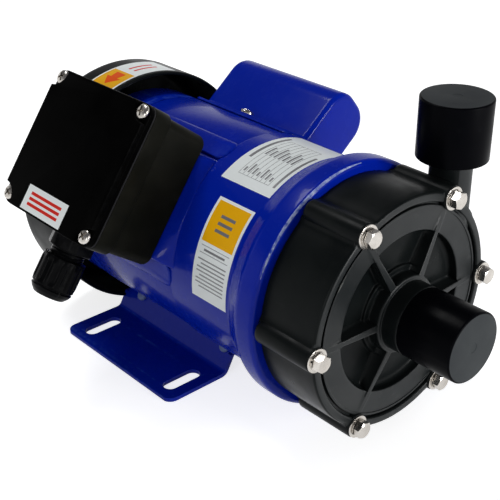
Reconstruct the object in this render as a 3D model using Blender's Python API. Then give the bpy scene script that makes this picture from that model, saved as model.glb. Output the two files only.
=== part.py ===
"""Magnetic drive pump: a plastic pump head, closed by two port caps, on a fan-cooled motor.

The model is in metres with +Z up. The shaft line runs along +Y: the suction port looks
towards -Y and the fan is at +Y. Stations along the shaft are measured from the front face
of the casing's bolt bosses. The pump stands on the undersides of its two feet, and its
origin is at the bottom centre of its own box.

The hardest feature is the front casing: one moulding with a dished face, tapered gussets,
bolt bosses, a spiral chamber, a spider that holds the spindle, and two ports.
"""

import math

import bmesh
import bpy
from mathutils import Matrix, Vector

MM = 0.001

# Gaps between neighbours
CLEARANCE = 0.3 * MM
RUNNING_GAP = 1.0 * MM
AIR_GAP = 0.8 * MM

# Casing bolts
BOLT_COUNT = 6
BOLT_CIRCLE_RADIUS = 60.0 * MM
BOLT_RADIUS = 2.5 * MM
BOLT_HEAD_WIDTH = 8.0 * MM
BOLT_HEAD_HEIGHT = 3.6 * MM
BOLT_ENGAGEMENT = 8.0 * MM
BOSS_WALL = 3.5 * MM
WASHER_WIDTH = 3.2 * MM
WASHER_THICKNESS = 1.2 * MM

# Front casing
CASING_DEPTH = 36.0 * MM
CASING_LIP = 1.0 * MM
SOCKET_WALL = 1.7 * MM
RIM_WIDTH = 4.6 * MM
RIM_SETBACK = 0.5 * MM
RIM_ROUND = 1.4 * MM
GROOVE_WIDTH = 1.5 * MM
GROOVE_DEPTH = 1.6 * MM
ANNULUS_WIDTH = 12.9 * MM
ANNULUS_SETBACK = 1.3 * MM
POCKET_DEPTH = 5.2 * MM
FRONT_WALL = 3.6 * MM
HUB_RING_WIDTH = 3.2 * MM
HUB_RING_HEIGHT = 1.8 * MM
COLLAR_WALL = 2.3 * MM
COLLAR_RISE = 1.2 * MM
GUSSET_TIP = 1.8 * MM
GUSSET_ROOT = 4.0 * MM
SPIDER_ARMS = 3
SPIDER_ARM = 2.6 * MM
SPIDER_DEPTH = 8.0 * MM
SPIDER_WALL = 2.2 * MM

# Ports, both of the same outside size and with the same push-on cap
PORT_RADIUS = 16.6 * MM
PORT_LENGTH = 28.7 * MM
PORT_CHAMFER = 1.0 * MM
SUCTION_BORE = 12.0 * MM
SUCTION_NECK = 9.0 * MM
DISCHARGE_BORE = 7.5 * MM
DISCHARGE_WALL = 3.2 * MM
DISCHARGE_HEIGHT = 65.2 * MM
DISCHARGE_STATION = 13.3 * MM
CAP_WALL = 1.1 * MM
CAP_END = 2.0 * MM
CAP_ROUND = 0.8 * MM

# Impeller, spindle and rear casing
IMPELLER_RADIUS = 40.0 * MM
SHROUD = 2.0 * MM
BLADE_COUNT = 6
BLADE_WIDTH = 6.0 * MM
BLADE_THICKNESS = 2.2 * MM
VOLUTE_START_GAP = 3.0 * MM
VOLUTE_GROWTH = 8.5 * MM
THROAT_WALL = 1.0 * MM
EYE_RADIUS = 12.6 * MM
SPINDLE_RADIUS = 4.0 * MM
BUSH_WALL = 2.4 * MM
HUB_WALL = 2.0 * MM
DRIVEN_MAGNET_RADIUS = 29.0 * MM
DRIVEN_MAGNET_WALL = 8.0 * MM
REAR_FLANGE = 5.5 * MM
CAN_WALL = 2.5 * MM
CAN_DEPTH = 38.0 * MM
CAN_END = 4.5 * MM
SPINDLE_SOCKET = 2.5 * MM
O_RING_SECTION = 1.2 * MM
O_RING_LAND = 1.3 * MM

# Drive magnet on the motor shaft
DRIVE_MAGNET_WALL = 7.0 * MM
DRIVE_END = 5.0 * MM
DRIVE_HUB_RADIUS = 12.0 * MM
DRIVE_HUB_LENGTH = 4.0 * MM

# Motor bracket
BRACKET_STEP = 1.0 * MM
BRACKET_WALL = 5.0 * MM
FLANGE_LENGTH = 12.0 * MM
FLANGE_CONE = 11.5 * MM
FLANGE_ROUND = 2.4 * MM
FLANGE_MARGIN = 0.2 * MM
REAR_WALL = 4.0 * MM
SHOULDER = 2.0 * MM
REGISTER_LENGTH = 5.0 * MM
REGISTER_WALL = 3.0 * MM
HOUSING_WALL = 4.5 * MM
HOUSING_OVERHANG = 3.0 * MM

# Motor
SHELL_RADIUS = 59.0 * MM
SHELL_WALL = 2.5 * MM
SHELL_LENGTH = 83.0 * MM
STATOR_LENGTH = 48.0 * MM
STATOR_BORE = 31.0 * MM
SLOT_COUNT = 12
SLOT_WIDTH = 7.0 * MM
SLOT_BRIDGE = 3.0 * MM
SLOT_DEPTH = 11.0 * MM
WINDING_OVERHANG = 10.0 * MM
WINDING_SPREAD = 3.0 * MM
ROTOR_OVERHANG = 2.0 * MM
SHAFT_RADIUS = 9.0 * MM
BEARING_BORE = 7.5 * MM
BEARING_RADIUS = 17.5 * MM
BEARING_WIDTH = 11.0 * MM
BEARING_LAND = 3.0 * MM
BEARING_SHIELD = 0.7 * MM
SHAFT_END_RADIUS = 6.0 * MM
END_SHIELD = 4.5 * MM

# Fan and fan cover
FAN_GAP = 8.0 * MM
FAN_WIDTH = 22.0 * MM
FAN_BLADES = 9
FAN_BLADE = 2.0 * MM
FAN_HUB = 11.0 * MM
FAN_BACK = 30.0 * MM
FAN_PLATE = 2.5 * MM
COVER_STEP = 12.0 * MM
COVER_WALL = 2.0 * MM
COVER_SETBACK = 12.0 * MM
COVER_LENGTH = 39.4 * MM
COVER_ROUND = 8.0 * MM
GRILLE_SPOKES = 4
GRILLE_SPOKE = 6.0 * MM
GRILLE_BAR = 4.0 * MM
GRILLE_SLOT = 7.0 * MM
GRILLE_RINGS = 3
GRILLE_CENTRE = 16.0 * MM
LUG_ANGLES = (0.0, math.radians(144.7), math.radians(270.0))
LUG_WIDTH = 13.0 * MM
LUG_ARM = 5.0 * MM
LUG_RISE = 1.5 * MM
LUG_REACH = 12.0 * MM
COVER_SCREW_RADIUS = 1.8 * MM
COVER_SCREW_HEAD = 3.5 * MM
COVER_SCREW_LENGTH = 7.0 * MM

# Terminal box, on a saddle whose outward line is this far round from +X
BOX_ANGLE = math.radians(144.7)
BOX_SETBACK = 1.5 * MM
BOX_LENGTH = 80.0 * MM
BOX_WIDTH = 77.0 * MM
BOX_DEPTH = 30.3 * MM
BOX_WALL = 2.5 * MM
BOX_FLOOR = 3.0 * MM
BOX_ROUND = 6.0 * MM
BOX_RIM = 1.4 * MM
BOX_RIM_DEPTH = 11.0 * MM
LID_PLATE = 3.0 * MM
LID_PANEL = 2.6 * MM
LID_PANEL_STEP = 0.3 * MM
LID_NOTCH = 11.2 * MM
LID_GASKET = 0.9 * MM
LID_SCREW_INSET = 5.0 * MM
LID_SCREW_RADIUS = 1.8 * MM
LID_SCREW_HEAD = 3.9 * MM
LID_SCREW_RISE = 2.2 * MM
LID_SCREW_LENGTH = 14.0 * MM
SADDLE_SHEET = 1.7 * MM
SADDLE_WIDTH = 82.0 * MM
SADDLE_FRONT = 1.6 * MM
SADDLE_REAR = 1.4 * MM
SADDLE_ROUND = 7.0 * MM
PAD_RISE = 2.0 * MM
PAD_INSET = 2.0 * MM
WIRE_HOLE = 8.0 * MM
BLOCK_LENGTH = 34.0 * MM
BLOCK_WIDTH = 18.0 * MM
BLOCK_HEIGHT = 10.0 * MM
BLOCK_TERMINALS = 3

# Cable gland on the downhill wall of the terminal box
GLAND_SHIFT = -4.0 * MM
GLAND_THREAD = 9.5 * MM
GLAND_BORE = 6.0 * MM
GLAND_HEX = 23.0 * MM
GLAND_FLANGE = 5.0 * MM
GLAND_NECK = 7.0 * MM
GLAND_GRIP = 12.0 * MM
GLAND_NUT_WALL = 1.7 * MM
GLAND_NUT_LENGTH = 22.0 * MM
GLAND_DOME = 7.0 * MM
GLAND_RIBS = 8
GLAND_RIB = 0.5 * MM
GLAND_SEAL_WALL = 1.6 * MM
LOCKNUT_THICKNESS = 3.5 * MM
LOCKNUT_HEX = 23.0 * MM

# Capacitor and its cover
CAPACITOR_ANGLE = math.radians(38.9)
CAPACITOR_STATION = 2.3 * MM
CAPACITOR_COVER_OVERHANG = 3.3 * MM
CAPACITOR_COVER_WIDTH = 34.2 * MM
CAPACITOR_COVER_RISE = 37.7 * MM
CAPACITOR_COVER_SHEET = 1.3 * MM
CAPACITOR_COVER_ROUND = 13.7 * MM
CAPACITOR_COVER_EDGE = 3.2 * MM
CAPACITOR_FLANGE = 11.0 * MM
CAPACITOR_FLANGE_INSET = 2.0 * MM
CAPACITOR_END_GAP = 7.0 * MM
CAPACITOR_SCREW_RADIUS = 1.8 * MM
CAPACITOR_SCREW_HEAD = 3.9 * MM
CAPACITOR_SCREW_RISE = 2.2 * MM

# Feet and the cradle under the motor
FOOT_SHEET = 2.4 * MM
FOOT_AIR = 0.6 * MM
FOOT_OUTER = 69.5 * MM
FOOT_BEND = 30.0 * MM
FOOT_BEND_RADIUS = 2.5 * MM
FOOT_LEAN = math.radians(61.0)
FOOT_SETBACK = 2.3 * MM
FOOT_OVERHANG = 13.8 * MM
FOOT_ROUND = 6.0 * MM
FOOT_RELIEF_FRONT = 3.5 * MM
FOOT_RELIEF_REAR = 4.8 * MM
FOOT_SLOT_LENGTH = 24.0 * MM
FOOT_SLOT_WIDTH = 8.6 * MM
FOOT_SLOT_FRONT = 11.3 * MM
FOOT_SLOT_REAR = 13.0 * MM
FOOT_SLOT_CENTRE = 51.5 * MM
CRADLE_SHEET = 2.0 * MM
CRADLE_LEG = 11.0 * MM
FOOT_SCREW_FRONT = 6.5 * MM
FOOT_SCREW_REAR = 16.5 * MM
FOOT_SCREW_DROP = 1.0 * MM
FOOT_SCREW_RADIUS = 2.0 * MM
FOOT_SCREW_HEAD = 4.1 * MM
FOOT_SCREW_RISE = 2.0 * MM
FOOT_SCREW_TAIL = 2.0 * MM

# Facets on round pieces
LARGE_FACETS = 40
CAP_FACETS = 24
HIDDEN_FACETS = 20
SMALL_FACETS = 12
SCREW_FACETS = 8

# Worked out from the sizes above
BRACKET_RADIUS = SHELL_RADIUS + BRACKET_STEP
COVER_RADIUS = SHELL_RADIUS + COVER_STEP
AXIS_HEIGHT = COVER_RADIUS + FOOT_AIR + FOOT_SHEET

BOSS_RADIUS = BOLT_RADIUS + CLEARANCE + BOSS_WALL
WASHER_RADIUS = BOLT_RADIUS + CLEARANCE + WASHER_WIDTH
CASING_RADIUS = BOLT_CIRCLE_RADIUS + CASING_LIP
SOCKET_RADIUS = BOLT_CIRCLE_RADIUS - BOLT_RADIUS - CLEARANCE - SOCKET_WALL
GROOVE_OUTER = CASING_RADIUS - RIM_WIDTH
GROOVE_INNER = GROOVE_OUTER - GROOVE_WIDTH
POCKET_RADIUS = GROOVE_INNER - ANNULUS_WIDTH
ANNULUS_FACE = RIM_SETBACK + ANNULUS_SETBACK
POCKET_FLOOR = ANNULUS_FACE + POCKET_DEPTH
CHAMBER_FRONT = POCKET_FLOOR + FRONT_WALL
SOCKET_FLOOR = CASING_DEPTH - REAR_FLANGE - CLEARANCE
CAP_BORE = PORT_RADIUS + CLEARANCE
CAP_RADIUS = CAP_BORE + CAP_WALL
COLLAR_RADIUS = CAP_RADIUS + COLLAR_WALL
HUB_RING_RADIUS = COLLAR_RADIUS + HUB_RING_WIDTH
SUCTION_SHOULDER = -COLLAR_RISE - SUCTION_NECK
SUCTION_END = SUCTION_SHOULDER - PORT_LENGTH
CAP_LENGTH = PORT_LENGTH + CAP_END
VOLUTE_START = IMPELLER_RADIUS + VOLUTE_START_GAP
VOLUTE_END = VOLUTE_START + VOLUTE_GROWTH
DISCHARGE_OFFSET = VOLUTE_END - DISCHARGE_BORE
DISCHARGE_RADIUS = DISCHARGE_BORE + DISCHARGE_WALL
DISCHARGE_END = DISCHARGE_HEIGHT + PORT_LENGTH

SPIDER_FRONT = RIM_SETBACK
SPIDER_BACK = SPIDER_FRONT + SPIDER_DEPTH
SPIDER_RADIUS = SPINDLE_RADIUS + CLEARANCE + SPIDER_WALL
BUSH_BORE = SPINDLE_RADIUS + CLEARANCE
BUSH_RADIUS = BUSH_BORE + BUSH_WALL
HUB_BORE = BUSH_RADIUS + CLEARANCE
HUB_RADIUS = HUB_BORE + HUB_WALL
IMPELLER_FRONT = CHAMBER_FRONT + RUNNING_GAP
BLADE_FRONT = IMPELLER_FRONT + SHROUD
BLADE_BACK = BLADE_FRONT + BLADE_WIDTH
IMPELLER_BACK = BLADE_BACK + SHROUD

FLANGE_FRONT = CASING_DEPTH + CLEARANCE
CAN_BORE = DRIVEN_MAGNET_RADIUS + RUNNING_GAP
CAN_RADIUS = CAN_BORE + CAN_WALL
CAN_INNER_END = CASING_DEPTH + CAN_DEPTH
CAN_OUTER_END = CAN_INNER_END + CAN_END
DRIVEN_MAGNET_END = CAN_INNER_END - 2.0 * RUNNING_GAP
SPINDLE_END = CAN_INNER_END + SPINDLE_SOCKET
DRIVE_BORE = CAN_RADIUS + RUNNING_GAP
DRIVE_RADIUS = DRIVE_BORE + DRIVE_MAGNET_WALL
DRIVE_INNER_END = CAN_OUTER_END + RUNNING_GAP
DRIVE_OUTER_END = DRIVE_INNER_END + DRIVE_END
DRIVE_HUB_END = DRIVE_OUTER_END + DRIVE_HUB_LENGTH
DRIVE_MOUTH = FLANGE_FRONT + 0.5 * FLANGE_LENGTH

BRACKET_OPENING = CAN_RADIUS + 0.5 * (SOCKET_RADIUS - CAN_RADIUS)
FLANGE_RADIUS = BOLT_CIRCLE_RADIUS + BOSS_RADIUS + FLANGE_MARGIN
REAR_WALL_FRONT = DRIVE_HUB_END + RUNNING_GAP
SEAT_FRONT = REAR_WALL_FRONT + REAR_WALL
HOUSING_RADIUS = BEARING_RADIUS + CLEARANCE + HOUSING_WALL
SEAT_DEPTH = BEARING_WIDTH + CLEARANCE
HOUSING_BACK = SEAT_FRONT + SEAT_DEPTH
BRACKET_BACK = HOUSING_BACK - HOUSING_OVERHANG
REGISTER_RADIUS = SHELL_RADIUS - SHELL_WALL - CLEARANCE

SHELL_FRONT = BRACKET_BACK + CLEARANCE
SHELL_BACK = SHELL_FRONT + SHELL_LENGTH
SHELL_BORE = SHELL_RADIUS - SHELL_WALL
STATOR_MIDDLE = 0.5 * (SHELL_FRONT + SHELL_BACK)
STATOR_FRONT = STATOR_MIDDLE - 0.5 * STATOR_LENGTH
STATOR_BACK = STATOR_MIDDLE + 0.5 * STATOR_LENGTH
STATOR_RADIUS = SHELL_BORE - CLEARANCE
SLOT_INNER = STATOR_BORE + SLOT_BRIDGE
SLOT_OUTER = SLOT_INNER + SLOT_DEPTH
ROTOR_RADIUS = STATOR_BORE - AIR_GAP
END_SHIELD_FRONT = SHELL_BACK + CLEARANCE
END_SHIELD_BACK = END_SHIELD_FRONT + END_SHIELD
REAR_SEAT_BACK = END_SHIELD_BACK - 0.5 * REAR_WALL
REAR_SEAT_FRONT = REAR_SEAT_BACK - SEAT_DEPTH

COVER_FRONT = SHELL_BACK + COVER_SETBACK
COVER_BACK = COVER_FRONT + COVER_LENGTH
COVER_BORE = COVER_RADIUS - COVER_WALL
LUG_RADIUS = COVER_BORE - CLEARANCE
LUG_BACK = COVER_FRONT + LUG_REACH
FAN_FRONT = END_SHIELD_BACK + FAN_GAP
LUG_ARM_OUTER = SHELL_RADIUS + LUG_RISE
LUG_ARM_INNER = LUG_ARM_OUTER - LUG_ARM
FAN_RADIUS = LUG_ARM_INNER - 2.0 * RUNNING_GAP
FAN_END = FAN_FRONT + FAN_PLATE + FAN_WIDTH

SADDLE_RADIUS = SHELL_RADIUS + CLEARANCE + SADDLE_SHEET
PAD_TOP = SADDLE_RADIUS + CLEARANCE + PAD_RISE
BOX_BACK = PAD_TOP + CLEARANCE
BOX_TOP = BOX_BACK + BOX_DEPTH
LID_BACK = BOX_TOP + LID_GASKET + 2.0 * CLEARANCE
LID_EAR = LID_BACK + LID_PLATE
BOX_STATION = COVER_FRONT - BOX_SETBACK - 0.5 * BOX_LENGTH
SADDLE_LENGTH = SHELL_LENGTH - SADDLE_FRONT - SADDLE_REAR
LID_SCREW_X = 0.5 * BOX_WIDTH - LID_SCREW_INSET
LID_SCREW_Y = 0.5 * BOX_LENGTH - LID_SCREW_INSET
LID_CORNER = LID_SCREW_INSET + LID_SCREW_RADIUS + CLEARANCE + 1.8 * MM
FOOT_FRONT = BRACKET_BACK - FOOT_SETBACK
FOOT_BACK = SHELL_BACK + FOOT_OVERHANG
FOOT_WALL_FRONT = FOOT_FRONT + FOOT_RELIEF_FRONT
FOOT_WALL_BACK = FOOT_BACK - FOOT_RELIEF_REAR
FOOT_TOP = FOOT_SHEET - AXIS_HEIGHT
CRADLE_FRONT = SHELL_FRONT + RUNNING_GAP
CRADLE_BACK = FOOT_WALL_BACK
CAPACITOR_FRONT = SHELL_FRONT + CAPACITOR_STATION
CAPACITOR_BACK = SHELL_BACK + CAPACITOR_COVER_OVERHANG
CAPACITOR_COVER_LENGTH = CAPACITOR_BACK - CAPACITOR_FRONT
CAPACITOR_LENGTH = CAPACITOR_COVER_LENGTH - 2.0 * CAPACITOR_END_GAP


# Palette: base colour, roughness and metallic value
FINISHES = {
    "moulded": ((0.022, 0.025, 0.027), 0.42, 0.0),
    "cap_rubber": ((0.030, 0.031, 0.033), 0.62, 0.0),
    "seal_rubber": ((0.015, 0.015, 0.016), 0.75, 0.0),
    "enamel": ((0.006, 0.018, 0.300), 0.22, 0.0),
    "dark_enamel": ((0.005, 0.010, 0.170), 0.30, 0.0),
    "zinc": ((0.720, 0.700, 0.660), 0.28, 1.0),
    "steel": ((0.480, 0.480, 0.490), 0.35, 1.0),
    "lamination": ((0.180, 0.180, 0.190), 0.55, 1.0),
    "aluminium": ((0.620, 0.630, 0.640), 0.45, 1.0),
    "copper": ((0.720, 0.260, 0.100), 0.35, 1.0),
    "ceramic": ((0.800, 0.780, 0.720), 0.25, 0.0),
    "carbon": ((0.060, 0.060, 0.065), 0.40, 0.0),
    "magnet": ((0.100, 0.100, 0.110), 0.45, 0.6),
    "box_plastic": ((0.012, 0.012, 0.012), 0.38, 0.0),
    "capacitor_can": ((0.700, 0.710, 0.720), 0.35, 1.0),
    "block": ((0.420, 0.400, 0.340), 0.50, 0.0),
}


def clear_scene():
    """Remove every object that the file opened with."""
    for stray in list(bpy.data.objects):
        bpy.data.objects.remove(stray, do_unlink=True)


def new_material(name, finish):
    """Make one piece's own Principled material from the palette."""
    colour, roughness, metallic = FINISHES[finish]
    material = bpy.data.materials.new(name)
    material.use_nodes = True
    shader = material.node_tree.nodes["Principled BSDF"]
    shader.inputs["Base Color"].default_value = (*colour, 1.0)
    shader.inputs["Roughness"].default_value = roughness
    shader.inputs["Metallic"].default_value = metallic
    material.diffuse_color = (*colour, 1.0)
    return material


def new_object(name, shape):
    """Turn a bmesh into a linked object and free the bmesh."""
    bmesh.ops.recalc_face_normals(shape, faces=shape.faces[:])
    mesh = bpy.data.meshes.new(name)
    shape.to_mesh(mesh)
    shape.free()
    piece = bpy.data.objects.new(name, mesh)
    bpy.context.scene.collection.objects.link(piece)
    return piece


def new_empty(name, parent=None, location=(0.0, 0.0, 0.0), rotation=(0.0, 0.0, 0.0)):
    """Make an empty that other pieces hang from."""
    empty = bpy.data.objects.new(name, None)
    empty.empty_display_size = 20.0 * MM
    empty.parent = parent
    empty.location = location
    empty.rotation_euler = rotation
    bpy.context.scene.collection.objects.link(empty)
    return empty


def finish_piece(piece, finish, parent, location=(0.0, 0.0, 0.0), rotation=(0.0, 0.0, 0.0), crease=34.0):
    """Give a piece its material, its shading, its parent and its place."""
    piece.data.materials.clear()
    piece.data.materials.append(new_material(piece.name, finish))
    piece.data.shade_smooth()
    piece.data.set_sharp_from_angle(angle=math.radians(crease))
    piece.parent = parent
    piece.location = location
    piece.rotation_euler = rotation
    return piece


def combine(piece, tools, operation):
    """Apply exact Booleans to a piece one tool at a time, and remove the tools."""
    for tool in tools:
        modifier = piece.modifiers.new(operation.lower(), "BOOLEAN")
        modifier.operation = operation
        modifier.solver = "EXACT"
        modifier.object = tool
        depsgraph = bpy.context.evaluated_depsgraph_get()
        solid = bpy.data.meshes.new_from_object(piece.evaluated_get(depsgraph))
        piece.modifiers.clear()
        spent = piece.data
        piece.data = solid
        bpy.data.meshes.remove(spent)
        bpy.data.objects.remove(tool, do_unlink=True)
    return piece


def fuse(piece, *tools):
    """Join overlapping tools to a piece."""
    return combine(piece, tools, "UNION")


def cut(piece, *tools):
    """Cut tools out of a piece."""
    return combine(piece, tools, "DIFFERENCE")


def keep(piece, *tools):
    """Keep only what a piece shares with the tools."""
    return combine(piece, tools, "INTERSECT")


def arc(centre, radius, start, end, steps):
    """Points along an arc in a plane, with the angles in degrees."""
    points = []
    for step in range(steps + 1):
        angle = math.radians(start + (end - start) * step / steps)
        x = centre[0] + radius * math.cos(angle)
        y = centre[1] + radius * math.sin(angle)
        points.append((x, y))
    return points


def turned(name, profile, facets, axis="Y"):
    """Spin a closed (radius, station) profile about the local Y or Z axis."""
    shape = bmesh.new()
    corners = []
    for radius, station in profile:
        place = (radius, station, 0.0) if axis == "Y" else (radius, 0.0, station)
        corners.append(shape.verts.new(place))
    for first, second in zip(corners, corners[1:] + corners[:1]):
        shape.edges.new((first, second))
    bmesh.ops.spin(
        shape,
        geom=shape.verts[:] + shape.edges[:],
        cent=(0.0, 0.0, 0.0),
        axis=(0.0, 1.0, 0.0) if axis == "Y" else (0.0, 0.0, 1.0),
        angle=math.tau,
        steps=facets,
        use_merge=True,
        use_duplicate=False,
    )
    bmesh.ops.remove_doubles(shape, verts=shape.verts[:], dist=0.001 * MM)
    loose = [edge for edge in shape.edges if not edge.link_faces]
    bmesh.ops.delete(shape, geom=loose, context="EDGES")
    return new_object(name, shape)


def prism(name, outline, low, high, axis="Y"):
    """Extrude an outline: (x, z) points along local Y, or (x, y) points along local Z."""
    shape = bmesh.new()
    corners = []
    for u, v in outline:
        place = (u, low, v) if axis == "Y" else (u, v, low)
        corners.append(shape.verts.new(place))
    base = shape.faces.new(corners)
    raised = bmesh.ops.extrude_face_region(shape, geom=[base])
    rise = (0.0, high - low, 0.0) if axis == "Y" else (0.0, 0.0, high - low)
    moved = [part for part in raised["geom"] if isinstance(part, bmesh.types.BMVert)]
    bmesh.ops.translate(shape, vec=rise, verts=moved)
    return new_object(name, shape)


def rounded_rectangle(width, height, radius, steps=4, centre=(0.0, 0.0)):
    """Outline of a rectangle with rounded corners."""
    radius = min(radius, 0.49 * width, 0.49 * height)
    x = 0.5 * width - radius
    y = 0.5 * height - radius
    corners = ((x, y, 0.0), (-x, y, 90.0), (-x, -y, 180.0), (x, -y, 270.0))
    outline = []
    for corner_x, corner_y, start in corners:
        middle = (centre[0] + corner_x, centre[1] + corner_y)
        outline += arc(middle, radius, start, start + 90.0, steps)
    return outline


def regular_polygon(across_flats, sides=6, turn=0.0):
    """Outline of a regular polygon, such as a bolt head."""
    radius = 0.5 * across_flats / math.cos(math.pi / sides)
    points = []
    for side in range(sides):
        angle = turn + math.tau * side / sides
        points.append((radius * math.cos(angle), radius * math.sin(angle)))
    return points


def moved(piece, matrix):
    """Transform a piece's mesh in its own frame."""
    piece.data.transform(matrix)
    return piece


def around_shaft(radius, angle):
    """A point in the XZ plane, round the shaft line from +X towards +Z."""
    return radius * math.cos(angle), radius * math.sin(angle)


def bolt_angles():
    """Directions of the casing bolts round the shaft line."""
    return [math.tau * index / BOLT_COUNT for index in range(BOLT_COUNT)]


def rod(name, radius, low, high, facets=SMALL_FACETS, axis="Y", centre=(0.0, 0.0)):
    """A plain cylinder along local Y or Z, centred on the two cross coordinates."""
    half_facet = 180.0 / facets
    outline = arc(centre, radius, half_facet, 360.0 + half_facet, facets)[:-1]
    return prism(name, outline, low, high, axis)


def casing_body():
    """The turned body of the front casing, from the port's mouth to its back face."""
    shoulder = SUCTION_SHOULDER
    profile = [
        (SUCTION_BORE, CASING_DEPTH),
        (SUCTION_BORE, SUCTION_END),
        (PORT_RADIUS - PORT_CHAMFER, SUCTION_END),
        (PORT_RADIUS, SUCTION_END + PORT_CHAMFER),
        (PORT_RADIUS, shoulder),
        (CAP_RADIUS, shoulder),
        (CAP_RADIUS, -COLLAR_RISE),
        (COLLAR_RADIUS - 0.6 * COLLAR_WALL, -COLLAR_RISE),
        (COLLAR_RADIUS, -COLLAR_RISE + 0.6 * COLLAR_WALL),
        (COLLAR_RADIUS, POCKET_FLOOR - HUB_RING_HEIGHT),
        (HUB_RING_RADIUS, POCKET_FLOOR - HUB_RING_HEIGHT),
        (HUB_RING_RADIUS, POCKET_FLOOR),
        (POCKET_RADIUS, POCKET_FLOOR),
        (POCKET_RADIUS, ANNULUS_FACE),
        (GROOVE_INNER, ANNULUS_FACE),
        (GROOVE_INNER, ANNULUS_FACE + GROOVE_DEPTH),
        (GROOVE_OUTER, ANNULUS_FACE + GROOVE_DEPTH),
        (GROOVE_OUTER, RIM_SETBACK),
        (CASING_RADIUS - RIM_ROUND, RIM_SETBACK),
        (CASING_RADIUS, RIM_SETBACK + RIM_ROUND),
        (CASING_RADIUS, CASING_DEPTH),
    ]
    return turned("front_casing", profile, LARGE_FACETS)


def casing_gusset(angle):
    """One tapered rib, level with the annulus at its tip and with the collar at its root."""
    inner = CAP_RADIUS
    outer = GROOVE_INNER - 0.5 * MM
    floor = POCKET_FLOOR + 0.5 * FRONT_WALL
    shape = bmesh.new()
    sections = []
    for radius, width, crest in (
        (inner, GUSSET_ROOT, 0.2 * MM - COLLAR_RISE),
        (outer, GUSSET_TIP, ANNULUS_FACE + 0.3 * MM),
    ):
        half = 0.5 * width
        places = ((-half, crest), (half, crest), (half * 1.15, floor), (-half * 1.15, floor))
        sections.append([shape.verts.new((radius, station, z)) for z, station in places])
    shape.faces.new(sections[0])
    shape.faces.new(sections[1])
    for side in range(4):
        following = (side + 1) % 4
        shape.faces.new(
            (sections[0][side], sections[0][following], sections[1][following], sections[1][side])
        )
    rib = new_object("gusset", shape)
    return moved(rib, Matrix.Rotation(-angle, 4, "Y"))


def discharge_branch():
    """The upright branch: a plain neck under the port, with its bore left solid."""
    near_side = DISCHARGE_OFFSET - DISCHARGE_RADIUS
    root = math.sqrt(POCKET_RADIUS ** 2 - near_side ** 2) + MM
    profile = [
        (0.0, root),
        (DISCHARGE_RADIUS, root),
        (DISCHARGE_RADIUS, DISCHARGE_HEIGHT),
        (PORT_RADIUS, DISCHARGE_HEIGHT),
        (PORT_RADIUS, DISCHARGE_END - PORT_CHAMFER),
        (PORT_RADIUS - PORT_CHAMFER, DISCHARGE_END),
        (0.0, DISCHARGE_END),
    ]
    branch = turned("branch", profile, CAP_FACETS, axis="Z")
    return moved(branch, Matrix.Translation((DISCHARGE_OFFSET, DISCHARGE_STATION, 0.0)))


def volute_chamber():
    """The spiral space round the impeller, from its tongue to the throat under the discharge."""
    inner_side = DISCHARGE_OFFSET - DISCHARGE_BORE
    tongue = math.acos(inner_side / VOLUTE_START)
    outline = []
    steps = 24
    sweep = math.tau - tongue
    for step in range(steps + 1):
        share = step / steps
        radius = VOLUTE_START + VOLUTE_GROWTH * share
        outline.append(around_shaft(radius, tongue + sweep * share))
    throat = SOCKET_RADIUS - THROAT_WALL
    low = math.degrees(math.acos(VOLUTE_END / throat))
    high = math.degrees(math.acos(inner_side / throat))
    outline += arc((0.0, 0.0), throat, low, high, 5)
    return prism("chamber", outline, CHAMBER_FRONT, SOCKET_FLOOR + THROAT_WALL)


def spindle_spider():
    """Three arms in the suction bore and the boss that holds the spindle's front end."""
    boss_profile = [
        (0.0, SPIDER_FRONT - 0.5 * SPIDER_RADIUS),
        (0.6 * SPIDER_RADIUS, SPIDER_FRONT - 0.3 * SPIDER_RADIUS),
        (SPIDER_RADIUS, SPIDER_FRONT + 0.3 * SPIDER_RADIUS),
        (SPIDER_RADIUS, SPIDER_BACK),
        (SPINDLE_RADIUS + CLEARANCE, SPIDER_BACK),
        (SPINDLE_RADIUS + CLEARANCE, SPIDER_BACK - 0.6 * SPIDER_DEPTH),
        (0.0, SPIDER_BACK - 0.6 * SPIDER_DEPTH),
    ]
    spider = turned("spider", boss_profile, SMALL_FACETS)
    arms = []
    inner = SPINDLE_RADIUS + CLEARANCE + 0.4 * SPIDER_WALL
    outer = SUCTION_BORE + 0.3 * (CAP_RADIUS - SUCTION_BORE)
    half = 0.5 * SPIDER_ARM
    for index in range(SPIDER_ARMS):
        outline = [(inner, -half), (outer, -half), (outer, half), (inner, half)]
        arm = prism("arm", outline, SPIDER_FRONT + 0.5 * MM, SPIDER_BACK - 0.5 * MM)
        angle = math.radians(90.0) + math.tau * index / SPIDER_ARMS
        arms.append(moved(arm, Matrix.Rotation(-angle, 4, "Y")))
    return fuse(spider, *arms)


def make_front_casing(shaft_line):
    """The pump head's front moulding, with both ports."""
    casing = casing_body()
    bosses = []
    holes = []
    for angle in bolt_angles():
        centre = around_shaft(BOLT_CIRCLE_RADIUS, angle)
        back = CASING_DEPTH - RIM_SETBACK
        bosses.append(rod("boss", BOSS_RADIUS, 0.0, back, SMALL_FACETS, centre=centre))
        hole = rod("hole", BOLT_RADIUS + CLEARANCE, -MM, CASING_DEPTH + MM, SCREW_FACETS, centre=centre)
        holes.append(hole)
    ribs = [casing_gusset(angle) for angle in bolt_angles()]
    fuse(casing, *ribs, *bosses, discharge_branch())
    low = 0.55 * POCKET_RADIUS
    discharge_bore = rod("bore", DISCHARGE_BORE, low, DISCHARGE_END + MM, SMALL_FACETS, axis="Z")
    moved(discharge_bore, Matrix.Translation((DISCHARGE_OFFSET, DISCHARGE_STATION, 0.0)))
    socket = rod("socket", SOCKET_RADIUS, SOCKET_FLOOR, CASING_DEPTH + MM, LARGE_FACETS)
    cut(casing, socket, volute_chamber(), discharge_bore, *holes)
    fuse(casing, spindle_spider())
    return finish_piece(casing, "moulded", shaft_line)


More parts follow.
